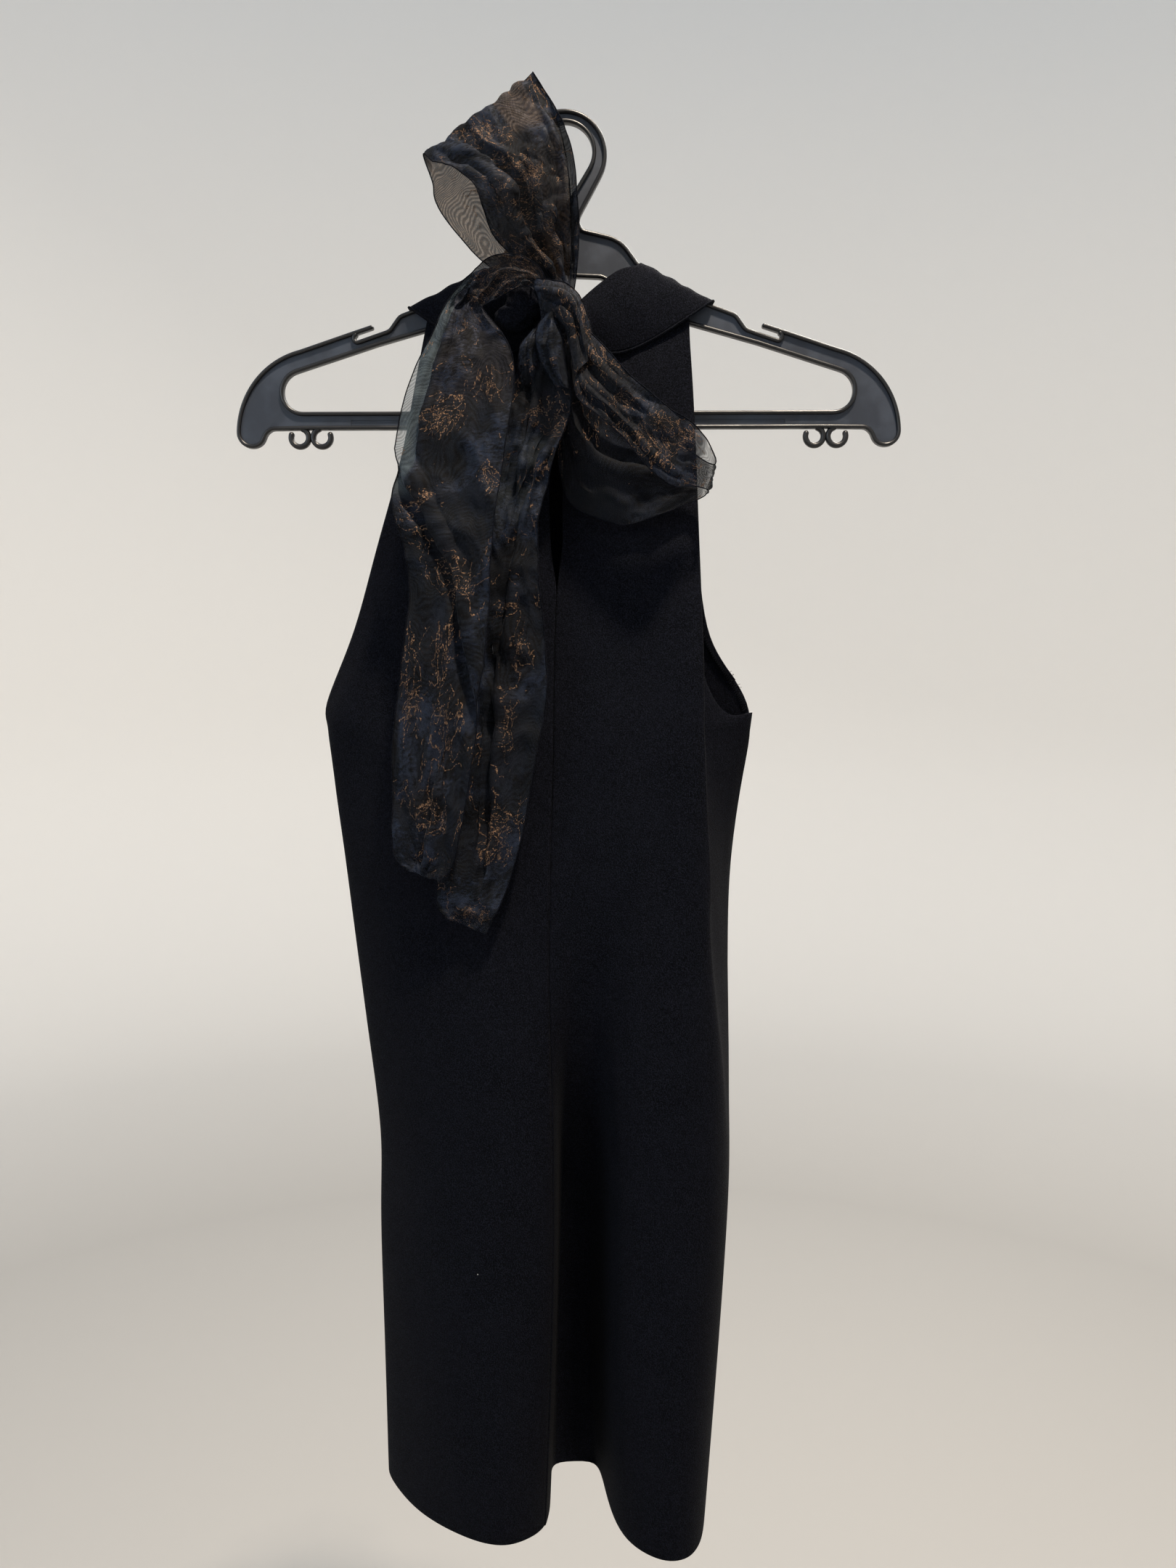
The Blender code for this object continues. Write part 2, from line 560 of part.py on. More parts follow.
def make_hanger(material):
    lower, upper, window = hanger_paths()
    hanger = web_plate(lower + upper, window, material)
    rim_lower = [FINGER_TIP] + lower + mirrored([FINGER_TIP])
    unite(hanger, bead("rim_lower", rim_lower, False, BEAD_WIDTH, BEAD_DEPTH, material))
    unite(hanger, bead("rim_upper", upper, False, BEAD_WIDTH, BEAD_DEPTH, material))
    unite(hanger, bead("rim_window", window, True, BEAD_WIDTH, BEAD_DEPTH, material))
    curls = [walk(CURL_INNER), walk(CURL_OUTER)]
    curls += [mirrored(curl) for curl in curls]
    for number, curl in enumerate(curls):
        unite(hanger, bead(f"curl_{number}", curl, False, CURL_WIDTH, CURL_DEPTH, material))
    return hanger


# ------------------------------------------------------------------------ assembly
def build():
    clear_scene()
    crepe = make_material("Black crepe", (0.012, 0.011, 0.012), 0.85)
    organza = make_material("Black organza", (0.02, 0.022, 0.028), 0.5)
    plastic = make_material("Black plastic", (0.03, 0.033, 0.04), 0.4)

    make_hanger(plastic)
    left_half, right_half = front_surfaces()
    cloth_sheet("front_left", left_half, CREPE_WALL, crepe)
    cloth_sheet("front_right", right_half, CREPE_WALL, crepe)
    back = back_surface()
    cloth_sheet("back", back, CREPE_WALL, crepe)
    cloth_sheet("armhole_hem", armhole_hem_surface(back), ARMHOLE_HEM_WALL, crepe)
    cloth_sheet("collar", collar_surface(), COLLAR_WALL, crepe)

    make_knot(organza)
    cloth_sheet("scarf_upper_loop",
                tie_surface(UPPER_LOOP, seat_row(128, 52, -31), seat_row(122, 58, -26), 2.5, 2.2, 2),
                ORGANZA_WALL, organza)
    cloth_sheet("scarf_right_loop",
                tie_surface(RIGHT_LOOP, seat_row(35, -35, -38), seat_row(-12, -62, -27.5), 1.5, 2.0, 2),
                ORGANZA_WALL, organza)
    cloth_sheet("scarf_left_tail",
                tie_surface(LEFT_TAIL, seat_row(125, 175, -38), None, 2.5, 3.0, 1),
                ORGANZA_WALL, organza)
    cloth_sheet("scarf_centre_tail",
                tie_surface(CENTRE_TAIL, seat_row(-130, -62, -34), None, 2.0, 2.5, 1),
                ORGANZA_WALL, organza)


build()
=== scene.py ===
# %% [markdown]
# # A black cocktail dress with an organza bow, on its hanger
# The construction is already there: a hanger, the crepe panels and the stretches of the tie,
# each at its real size and place. This lesson gives them their looks. The crepe panels get finer
# copies with soft creases, the bow is folded from thin sheets of organza with copper threads, and
# the hanger gets its moulded rim. Nothing here moves a part of the construction.

# %% Load the construction as a fixed frame
from collections import namedtuple
from math import cos, exp, hypot, pi, radians, sin

import bmesh
import bpy
import numpy as np
from mathutils import Matrix, Vector, noise
from mathutils.bvhtree import BVHTree


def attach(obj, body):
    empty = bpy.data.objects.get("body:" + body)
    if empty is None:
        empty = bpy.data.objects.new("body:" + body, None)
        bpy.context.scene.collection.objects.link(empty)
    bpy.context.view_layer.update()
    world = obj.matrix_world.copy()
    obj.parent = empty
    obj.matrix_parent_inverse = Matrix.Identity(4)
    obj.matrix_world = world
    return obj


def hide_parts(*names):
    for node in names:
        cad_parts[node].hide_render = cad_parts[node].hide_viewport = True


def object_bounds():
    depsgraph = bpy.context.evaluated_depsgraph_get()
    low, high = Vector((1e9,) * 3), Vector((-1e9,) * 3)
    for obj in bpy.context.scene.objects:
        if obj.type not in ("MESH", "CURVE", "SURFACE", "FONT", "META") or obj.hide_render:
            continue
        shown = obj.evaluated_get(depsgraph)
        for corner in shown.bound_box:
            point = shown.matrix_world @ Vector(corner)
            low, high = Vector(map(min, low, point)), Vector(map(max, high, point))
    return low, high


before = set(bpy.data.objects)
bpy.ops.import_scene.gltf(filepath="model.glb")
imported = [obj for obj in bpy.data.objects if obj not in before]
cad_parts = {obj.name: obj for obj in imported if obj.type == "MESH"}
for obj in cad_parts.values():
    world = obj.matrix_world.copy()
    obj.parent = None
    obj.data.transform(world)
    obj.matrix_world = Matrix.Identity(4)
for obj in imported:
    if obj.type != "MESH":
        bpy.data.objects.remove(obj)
cad_low, cad_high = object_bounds()
print("frame", [round(1000 * s) for s in cad_high - cad_low], "mm,", len(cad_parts), "nodes")

# %% [markdown]
# ## Sizes and a common zero
# Lengths are written in millimetres, because a tailor measures so, and turned into metres by one
# helper. The tables of the tie count from a zero a little right of and above the inside top of
# the hook, which is the frame's own zero.

# %% Millimetres
MM = 0.001
TABLE_ZERO = (1.5, 0.0, 2.6)
MERGE_DISTANCE = 0.01 * MM      # points closer than this are one point


def spot(x, y, z):
    """A point of the tables, in millimetres, as a place in the frame, in metres."""
    return Vector((x + TABLE_ZERO[0], y + TABLE_ZERO[1], z + TABLE_ZERO[2])) * MM


print("the tables' zero lies at", tuple(round(c, 4) for c in spot(0, 0, 0)))

# %% [markdown]
# ## The camera
# A phone held at chest height, a little above the middle of the dress and tilted down: a short
# distance and a wide view, so the hem is seen from above and the bow from straight ahead.

# %% Camera
CAMERA_PLACE = (0.02637, -0.75878, -0.33492)
CAMERA_TILT = 5.5           # degrees down
CAMERA_TURN = 0.9           # degrees to the left

camera_data = bpy.data.cameras.new("camera")
camera_data.lens = 27.0
camera_data.sensor_width = 36.0
camera = bpy.data.objects.new("camera", camera_data)
camera.location = CAMERA_PLACE
camera.rotation_euler = (radians(90.0 - CAMERA_TILT), 0.0, radians(CAMERA_TURN))
bpy.context.scene.collection.objects.link(camera)
bpy.context.scene.camera = camera
print("camera", tuple(round(c, 3) for c in camera.location))

# %% [markdown]
# ## Floor and light
# The dress hangs in the air over a pale floor that sweeps up all round like a dish, so no horizon
# shows from any side. A lamp high in front is the warm ceiling light that throws the bow's shadow
# on the dress. A wide cool one at the left is a window, and one behind lifts the back. The sky
# around them is faint and cool, which turns the black bluish in shade.

# %% Floor
FLOOR_LEVEL = cad_low.z - 0.55
FLOOR_RADIUS = 2.6
SWEEP_RADIUS = 1.0
SWEEP_HEIGHT = 3.7
# The paint is darker near the dress, so it throws less light up onto it. The swept-up wall's paler
# paint is painted light, making up for the lamp light that falls off far from the dress.
FLOOR_PAINT = (0.37, 0.36, 0.345, 1.0)
WALL_PAINT = (0.79, 0.775, 0.75, 1.0)
PAINT_START = 1.7           # from here outwards, in metres, the paint turns pale
PAINT_END = FLOOR_RADIUS + 0.95 * SWEEP_RADIUS


def link(name, mesh, material=None):
    """A mesh as a smooth-shaded object at the origin."""
    thing = bpy.data.objects.new(name, mesh)
    bpy.context.scene.collection.objects.link(thing)
    if material:
        mesh.materials.append(material)
    mesh.shade_smooth()
    return thing


def from_bmesh(name, bm, material=None):
    mesh = bpy.data.meshes.new(name)
    bm.to_mesh(mesh)
    bm.free()
    return link(name, mesh, material)


def make_floor():
    """A flat disc whose rim sweeps up, turned from one profile."""
    profile = [(0.0, 0.0), (FLOOR_RADIUS, 0.0)]
    for step in range(1, 10):
        turn = radians(10.0 * step)
        profile.append((FLOOR_RADIUS + SWEEP_RADIUS * sin(turn), SWEEP_RADIUS * (1 - cos(turn))))
    profile.append((FLOOR_RADIUS + SWEEP_RADIUS, SWEEP_HEIGHT))
    bm = bmesh.new()
    line = [bm.verts.new((x, 0.0, FLOOR_LEVEL + z)) for x, z in profile]
    edges = [bm.edges.new(pair) for pair in zip(line, line[1:])]
    bmesh.ops.spin(bm, geom=line + edges, cent=(0, 0, 0), axis=(0, 0, 1), angle=2 * pi,
                   steps=64, use_merge=True)
    bmesh.ops.remove_doubles(bm, verts=bm.verts, dist=MM)
    bmesh.ops.recalc_face_normals(bm, faces=bm.faces)
    return from_bmesh("floor", bm)


def make_paint():
    """Matt paint, darker below the dress, paler far out: painted light where lamps reach less."""
    paint = bpy.data.materials.new("pale_floor")
    paint.use_nodes = True
    tree = paint.node_tree
    shader = tree.nodes["Principled BSDF"]
    place = tree.nodes.new("ShaderNodeTexCoord")
    flat = tree.nodes.new("ShaderNodeVectorMath")
    flat.operation = "MULTIPLY"
    flat.inputs[1].default_value = (1.0, 1.0, 0.0)
    distance = tree.nodes.new("ShaderNodeVectorMath")
    distance.operation = "LENGTH"
    ramp = tree.nodes.new("ShaderNodeValToRGB")
    share = tree.nodes.new("ShaderNodeMapRange")
    share.inputs["From Min"].default_value = PAINT_START
    share.inputs["From Max"].default_value = PAINT_END
    ramp.color_ramp.elements[0].color = FLOOR_PAINT
    ramp.color_ramp.elements[1].color = WALL_PAINT
    tree.links.new(place.outputs["Object"], flat.inputs[0])
    tree.links.new(flat.outputs[0], distance.inputs[0])
    tree.links.new(distance.outputs["Value"], share.inputs["Value"])
    tree.links.new(share.outputs["Result"], ramp.inputs["Fac"])
    tree.links.new(ramp.outputs["Color"], shader.inputs["Base Color"])
    shader.inputs["Roughness"].default_value = 0.9
    return paint


floor = make_floor()
floor.data.materials.append(make_paint())
print("floor", round(FLOOR_LEVEL, 3), "m")

# %% Light
Lamp = namedtuple("Lamp", "name place size power colour")
LAMPS = [
    Lamp("ceiling", (0.38, -0.68, 1.60), 0.14, 92.0, (1.0, 0.86, 0.70)),
    Lamp("window", (-1.8, -1.4, 0.3), 1.4, 16.0, (0.66, 0.83, 1.0)),
    Lamp("back", (0.9, 1.3, 1.3), 0.8, 40.0, (1.0, 0.95, 0.88)),
]
AIM = Vector((0.0, 0.0, -0.42))
SKY_COLOUR = (0.72, 0.85, 1.0, 1.0)
SKY_STRENGTH = 0.62


def make_lamp(lamp):
    data = bpy.data.lights.new(lamp.name, "AREA")
    data.size = lamp.size
    data.energy = lamp.power
    data.color = lamp.colour
    thing = bpy.data.objects.new(lamp.name, data)
    thing.location = lamp.place
    thing.rotation_euler = (AIM - Vector(lamp.place)).to_track_quat("-Z", "Y").to_euler()
    bpy.context.scene.collection.objects.link(thing)


for lamp in LAMPS:
    make_lamp(lamp)
world = bpy.data.worlds.new("soft_sky")
world.use_nodes = True
sky = world.node_tree.nodes["Background"]
sky.inputs["Color"].default_value = SKY_COLOUR
sky.inputs["Strength"].default_value = SKY_STRENGTH
bpy.context.scene.world = world
bpy.context.scene.view_settings.view_transform = "Standard"
print(len(LAMPS), "lamps and a soft sky")

# %% [markdown]
# ## Materials
# A small helper adds a node and connects its inputs in one call, so a material reads like a recipe.
# Every finish here has a grain: crepe is pebbled by its twisted yarn and plastic by its mould. So
# the grain is a node group, which each material stretches to its own scale.

# %% A helper for nodes, and the shared grain
def join_input(tree, socket, value):
    if isinstance(value, bpy.types.NodeSocket):
        tree.links.new(value, socket)
    else:
        socket.default_value = value


def add(tree, kind, inputs=None, **settings):
    """A node with its settings and inputs; an input is a value or another node's output."""
    made = tree.nodes.new(kind)
    for name, value in settings.items():
        setattr(made, name, value)
    for name, value in (inputs or {}).items():
        join_input(tree, made.inputs[name], value)
    return made


def maths(tree, operation, *values):
    made = add(tree, "ShaderNodeMath", dict(enumerate(values)), operation=operation)
    return made.outputs[0]


def fade(tree, value, low, high, to_low=0.0, to_high=1.0):
    """A value led smoothly from low..high to to_low..to_high."""
    made = add(tree, "ShaderNodeMapRange", {"Value": value, "From Min": low, "From Max": high,
                                            "To Min": to_low, "To Max": to_high},
               interpolation_type="SMOOTHSTEP")
    return made.outputs["Result"]


def mix_colour(tree, factor, first, second):
    made = add(tree, "ShaderNodeMix", {0: factor, 6: first, 7: second}, data_type="RGBA")
    return made.outputs[2]


def painted_on(tree, name):
    """A number that is painted on a piece's points."""
    return add(tree, "ShaderNodeAttribute", attribute_name=name).outputs["Fac"]


def noise_at(tree, vector, scale, detail=2.0, roughness=0.5):
    made = add(tree, "ShaderNodeTexNoise", {"Vector": vector, "Scale": scale, "Detail": detail,
                                            "Roughness": roughness})
    return made.outputs["Fac"]


PATCH_RATE = 38.0           # patches, and cells for a speck of lint, in one metre
LINT_SIZE = (0.012, 0.02)   # where a speck fades, as shares of its cell
LINT_FREE = 0.86            # a cell has a speck where its own random grey is above this


def make_grain():
    """Fine pebbles, slow patches and a few specks of lint, on coordinates in metres."""
    group = bpy.data.node_groups.new("grain", "ShaderNodeTree")
    face = group.interface
    for name in ("Vector", "Stretch"):
        face.new_socket(name, in_out="INPUT", socket_type="NodeSocketVector")
    for name in ("Height", "Patches", "Lint"):
        face.new_socket(name, in_out="OUTPUT", socket_type="NodeSocketFloat")
    start = add(group, "NodeGroupInput")
    stretched = add(group, "ShaderNodeVectorMath",
                    {0: start.outputs["Vector"], 1: start.outputs["Stretch"]}, operation="MULTIPLY")
    pebbles = noise_at(group, stretched.outputs[0], 1.0, 3.0, 0.6)
    patches = noise_at(group, start.outputs["Vector"], PATCH_RATE, 4.0, 0.6)
    cells = add(group, "ShaderNodeTexVoronoi", {"Vector": start.outputs["Vector"],
                                                "Scale": PATCH_RATE})
    near = fade(group, cells.outputs["Distance"], *LINT_SIZE, 1.0, 0.0)
    chosen = maths(group, "GREATER_THAN", cells.outputs["Color"], LINT_FREE)
    lint = maths(group, "MULTIPLY", near, chosen)
    end = add(group, "NodeGroupOutput")
    for name, value in (("Height", pebbles), ("Patches", patches), ("Lint", lint)):
        group.links.new(value, end.inputs[name])
    return group


grain = make_grain()
print("grain group with", len(grain.nodes), "nodes")


# %% Black crepe
CREPE_STRETCH = (1700.0, 1700.0, 1250.0)
# The hollows between the pebbles are painted dark, as painted shade, over the cloth's own patchy
# tone, and the pebbles' tops are painted paler, as painted light.
CREPE_SHADED_HOLLOWS = ((0.0006, 0.0008, 0.0016, 1), (0.0013, 0.0016, 0.0028, 1))
CREPE_LIT_PEBBLES = (0.0061, 0.0069, 0.0114, 1)
LINT = (0.35, 0.34, 0.33, 1)


def new_material(name):
    material = bpy.data.materials.new(name)
    material.use_nodes = True
    return material, material.node_tree, material.node_tree.nodes["Principled BSDF"]


def make_crepe():
    material, tree, shader = new_material("black_crepe")
    place = add(tree, "ShaderNodeTexCoord").outputs["Object"]
    made = add(tree, "ShaderNodeGroup", {"Vector": place, "Stretch": CREPE_STRETCH},
               node_tree=grain)
    height = made.outputs["Height"]
    patches = fade(tree, made.outputs["Patches"], 0.3, 0.7)
    cloth = mix_colour(tree, patches, *CREPE_SHADED_HOLLOWS)
    # pebble tops painted paler than the hollows: painted light and painted shade
    pebbled = mix_colour(tree, fade(tree, height, 0.44, 0.64), cloth, CREPE_LIT_PEBBLES)
    tree.links.new(mix_colour(tree, made.outputs["Lint"], pebbled, LINT),
                   shader.inputs["Base Color"])
    tree.links.new(fade(tree, height, 0.3, 0.7, 0.95, 0.78), shader.inputs["Roughness"])
    shader.inputs["Specular IOR Level"].default_value = 0.045
    shader.inputs["Specular Tint"].default_value = (0.92, 0.95, 1.0, 1.0)
    shader.inputs["Sheen Weight"].default_value = 0.006
    shader.inputs["Sheen Roughness"].default_value = 0.5
    bump = add(tree, "ShaderNodeBump", {"Strength": 0.7, "Distance": 0.0006, "Height": height})
    tree.links.new(bump.outputs["Normal"], shader.inputs["Normal"])
    return material


crepe = make_crepe()
print("crepe", len(crepe.node_tree.nodes), "nodes")


# %% [markdown]
# ## Black plastic
# The hanger is one moulding: a thin satin web between glossy rounded rims. The two are told apart
# by a number on the hanger's points, 1 on a rim and 0 on the web.

# %% Black plastic
PLASTIC_STRETCH = (900.0, 900.0, 900.0)
WEB_BLACKS = ((0.010, 0.0145, 0.0245, 1), (0.021, 0.029, 0.045, 1))
RIM_BLACK = (0.0045, 0.0045, 0.0055, 1)
WEB_ROUGHNESS = 0.50
RIM_ROUGHNESS = 0.31


def make_plastic():
    material, tree, shader = new_material("black_plastic")
    place = add(tree, "ShaderNodeTexCoord").outputs["Object"]
    made = add(tree, "ShaderNodeGroup", {"Vector": place, "Stretch": PLASTIC_STRETCH},
               node_tree=grain)
    rim = painted_on(tree, "rim")
    patches = fade(tree, made.outputs["Patches"], 0.38, 0.64)
    web = mix_colour(tree, patches, *WEB_BLACKS)
    tree.links.new(mix_colour(tree, rim, web, RIM_BLACK), shader.inputs["Base Color"])
    rough = maths(tree, "ADD", fade(tree, rim, 0.0, 1.0, WEB_ROUGHNESS, RIM_ROUGHNESS),
                  fade(tree, patches, 0.0, 1.0, 0.0, 0.10))
    tree.links.new(rough, shader.inputs["Roughness"])
    shader.inputs["Specular IOR Level"].default_value = 0.45
    bump = add(tree, "ShaderNodeBump", {"Strength": 0.12, "Distance": 0.0002,
                                        "Height": made.outputs["Height"]})
    tree.links.new(bump.outputs["Normal"], shader.inputs["Normal"])
    return material


plastic = make_plastic()
print("plastic", len(plastic.node_tree.nodes), "nodes")


# %% [markdown]
# ## Organza
# Organza is a sheer, crisp weave. One layer lets about half of the light through, two layers a
# quarter, and where fine threads of two layers cross they beat against each other and show rippled
# watermarks. Copper threads wander over it in broken scribbles. So the material lets light through
# by Alpha and its watermarks are warped bands. The copper lies on the borders of warped cells and
# on the contour lines of a hilly noise, which is a pattern of its own and follows no drawing. All
# of it reads the cut's own map, in metres.

# %% Copper threads as a shared pattern
WANDER = 0.034              # how far, in metres, the threads stray in wide bends
SHAKE = 0.0028              # and in small ones


def make_threads():
    """Wandering broken threads: 1 on a thread and 0 beside it, on a map in metres."""
    group = bpy.data.node_groups.new("copper_threads", "ShaderNodeTree")
    face = group.interface
    face.new_socket("Vector", in_out="INPUT", socket_type="NodeSocketVector")
    for name in ("Cell", "Width", "Amount"):
        face.new_socket(name, in_out="INPUT", socket_type="NodeSocketFloat")
    face.new_socket("Thread", in_out="OUTPUT", socket_type="NodeSocketFloat")
    start = add(group, "NodeGroupInput")
    place = start.outputs["Vector"]
    wander = add(group, "ShaderNodeTexNoise", {"Vector": place, "Scale": 42.0, "Detail": 3.0})
    shake = add(group, "ShaderNodeTexNoise", {"Vector": place, "Scale": 420.0, "Detail": 1.0})
    far = add(group, "ShaderNodeVectorMath", {0: wander.outputs["Color"], 1: (-0.5, -0.5, 0.0)})
    near = add(group, "ShaderNodeVectorMath", {0: shake.outputs["Color"], 1: (-0.5, -0.5, 0.0)})
    moved = place
    for offset, reach in ((far, WANDER), (near, SHAKE)):
        scaled = add(group, "ShaderNodeVectorMath", {0: offset.outputs[0], "Scale": reach},
                     operation="SCALE")
        moved = add(group, "ShaderNodeVectorMath", {0: moved, 1: scaled.outputs[0]}).outputs[0]
    rate = maths(group, "DIVIDE", 1.0, start.outputs["Cell"])
    borders = add(group, "ShaderNodeTexVoronoi", {"Vector": moved, "Scale": rate},
                  feature="DISTANCE_TO_EDGE", voronoi_dimensions="2D")
    reach = maths(group, "MULTIPLY", start.outputs["Width"], rate)
    border = maths(group, "LESS_THAN", borders.outputs["Distance"], reach)
    stretches = maths(group, "GREATER_THAN", noise_at(group, moved, 90.0, 1.0), 0.45)
    ground = noise_at(group, moved, maths(group, "MULTIPLY", rate, 0.5), 1.0)
    hills = maths(group, "MULTIPLY", ground, 5.0)
    slope = maths(group, "ABSOLUTE", maths(group, "SUBTRACT", maths(group, "FRACT", hills), 0.5))
    contour = maths(group, "LESS_THAN", slope, reach)
    line = maths(group, "MAXIMUM", maths(group, "MULTIPLY", border, stretches), contour)
    broken = maths(group, "GREATER_THAN", noise_at(group, place, 1300.0, 1.0), 0.48)
    cloud = noise_at(group, place, 30.0, 3.0, 0.65)
    missing = maths(group, "SUBTRACT", 1.0, start.outputs["Amount"])
    shown = maths(group, "GREATER_THAN", cloud, missing)
    end = add(group, "NodeGroupOutput")
    group.links.new(maths(group, "MULTIPLY", maths(group, "MULTIPLY", line, broken), shown),
                    end.inputs["Thread"])
    return group


threads = make_threads()
print("thread group with", len(threads.nodes), "nodes")

# %% Organza
PLY_SHARE = 0.5             # what one ply of organza lets through
EDGE_WIDTH = 0.9 * MM       # the dark folded edge of the tie
DARK_SMOKE = ((0.0002, 0.0002, 0.0005, 1), (0.0088, 0.0134, 0.0265, 1))
# painted sheen: the pale bluish light that thin cloth catches at a slant
SHEEN_SLATE = (0.066, 0.084, 0.094, 1)
BROWN = (0.0080, 0.0064, 0.0062, 1)
WATER = (0.012, 0.016, 0.023, 1)
COPPER = ((0.026, 0.016, 0.011, 1), (0.225, 0.134, 0.080, 1))
# painted light: warm light shining through thin places of the cloth, with watermarks in it
WARM_LIGHT_THROUGH = ((0.084, 0.054, 0.033, 1), (0.235, 0.158, 0.101, 1))
WARP = 0.085                # how far, in metres, the watermarks are bent out of line
WEAVE_STRETCH = (240.0, 620.0, 1.0)
ThreadNet = namedtuple("ThreadNet", "cell width sparse dense")
THREAD_NETS = [
    ThreadNet(0.019, 0.00028, 0.46, 0.74), ThreadNet(0.0100, 0.00024, 0.38, 0.66),
    ThreadNet(0.0052, 0.00017, 0.26, 0.52),
]


def lay_threads(tree, cut, trim):
    """The threads of all nets: 1 on a thread, and more of them where trim is high."""
    copper = 0.0
    for net in THREAD_NETS:
        amount = fade(tree, trim, 0.0, 1.0, net.sparse, net.dense)
        made = add(tree, "ShaderNodeGroup", {"Vector": cut, "Cell": net.cell, "Width": net.width,
                                             "Amount": amount}, node_tree=threads)
        copper = maths(tree, "MAXIMUM", made.outputs["Thread"], copper)
    return copper


def make_organza():
    """Sheer cloth whose plies, edges and copper patches are painted on its points."""
    material, tree, shader = new_material("black_organza")
    cut = add(tree, "ShaderNodeUVMap", uv_map="cut").outputs["UV"]
    plies, edge, trim, pale, warm = (painted_on(tree, name)
                                     for name in ("plies", "edge", "copper", "pale", "warm"))

    bend = add(tree, "ShaderNodeTexNoise", {"Vector": cut, "Scale": 24.0, "Detail": 2.0})
    bent = add(tree, "ShaderNodeVectorMath", {0: bend.outputs["Color"], "Scale": WARP},
               operation="SCALE")
    warped = add(tree, "ShaderNodeVectorMath", {0: cut, 1: bent.outputs[0]}).outputs[0]
    ripples = add(tree, "ShaderNodeTexWave", {"Vector": warped, "Scale": 108.0, "Distortion": 1.8},
                  bands_direction="Y").outputs["Fac"]
    haze = noise_at(tree, warped, 46.0, 6.0, 0.6)
    speck = noise_at(tree, cut, 900.0, 2.0, 0.7)
    slubs = add(tree, "ShaderNodeVectorMath", {0: cut, 1: WEAVE_STRETCH}, operation="MULTIPLY")
    weave = noise_at(tree, slubs.outputs[0], 1.0, 5.0, 0.75)
    mottle = maths(tree, "MULTIPLY_ADD", weave, 0.55, maths(tree, "MULTIPLY", haze, 0.45))
    overlap = fade(tree, noise_at(tree, warped, 19.0, 1.5, 0.4), 0.475, 0.515, 0.30, 1.0)
    grainy = maths(tree, "MULTIPLY", fade(tree, mottle, 0.44, 0.60), overlap)
    # where the painted number for sheen and shade is below zero, the haze is dimmed: painted shade
    grainy = maths(tree, "MULTIPLY", grainy, fade(tree, pale, -0.75, -0.1))
    copper = lay_threads(tree, cut, trim)

    smoke = mix_colour(tree, grainy, *DARK_SMOKE)
    brown = maths(tree, "MULTIPLY", trim, fade(tree, weave, 0.42, 0.62, 0.1, 0.8))
    browned = mix_colour(tree, brown, smoke, BROWN)
    watered = mix_colour(tree, maths(tree, "MULTIPLY", ripples, 0.30), browned, WATER)
    # warm light painted as shining through thin places
    light_through_colour = mix_colour(tree, fade(tree, ripples, 0.35, 0.85), *WARM_LIGHT_THROUGH)
    through_share = maths(tree, "MULTIPLY", warm, fade(tree, mottle, 0.38, 0.60, 0.35, 1.0))
    lit_through = mix_colour(tree, through_share, watered, light_through_colour)
    # where that number is above zero, slate is mixed in: painted sheen
    sheen_colour = mix_colour(tree, fade(tree, haze, 0.35, 0.7, 0.0, 0.6), SHEEN_SLATE, DARK_SMOKE[1])
    layered = mix_colour(tree, pale, lit_through, sheen_colour)
    rolled = mix_colour(tree, edge, layered, DARK_SMOKE[0])
    metal = mix_colour(tree, fade(tree, speck, 0.40, 0.64), *COPPER)
    tree.links.new(mix_colour(tree, copper, rolled, metal), shader.inputs["Base Color"])
    tree.links.new(maths(tree, "MULTIPLY", copper, 0.4), shader.inputs["Metallic"])
    tree.links.new(fade(tree, grainy, 0.0, 1.0, 0.76, 0.52), shader.inputs["Roughness"])

    passing = maths(tree, "POWER", PLY_SHARE, plies)
    waves = maths(tree, "MULTIPLY_ADD", ripples, 0.60, 0.62)
    kept = maths(tree, "SUBTRACT", 1.0, maths(tree, "MULTIPLY", passing, waves))
    kept = maths(tree, "MAXIMUM", kept, maths(tree, "MULTIPLY", edge, 0.97))
    tree.links.new(maths(tree, "MAXIMUM", kept, copper), shader.inputs["Alpha"])
    shader.inputs["Specular IOR Level"].default_value = 0.10
    shader.inputs["Sheen Weight"].default_value = 0.02
    shader.inputs["Sheen Roughness"].default_value = 0.35
    shader.inputs["Sheen Tint"].default_value = (0.75, 0.84, 1.0, 1.0)
    bump = add(tree, "ShaderNodeBump", {"Strength": 0.35, "Distance": 0.0004, "Height": grainy})
    tree.links.new(bump.outputs["Normal"], shader.inputs["Normal"])
    return material


organza = make_organza()
print("organza", len(organza.node_tree.nodes), "nodes")

# %% [markdown]
# ## The hanger
# A shop hanger is one moulding of black plastic: a thin web, stiffened by a rounded rim along each
# of its edges. A finger over each arm keeps straps from slipping off, and two curls below each
# shoulder hold a garment's loops. The construction has all of this in plain facets. Its finer copy
# is drawn flat from the same points, whose corners are cut so that the lines run smooth. One
# rounded profile is led along them as the rim, the web is a flat curve filled between them, and
# the whole is turned upright at the end.

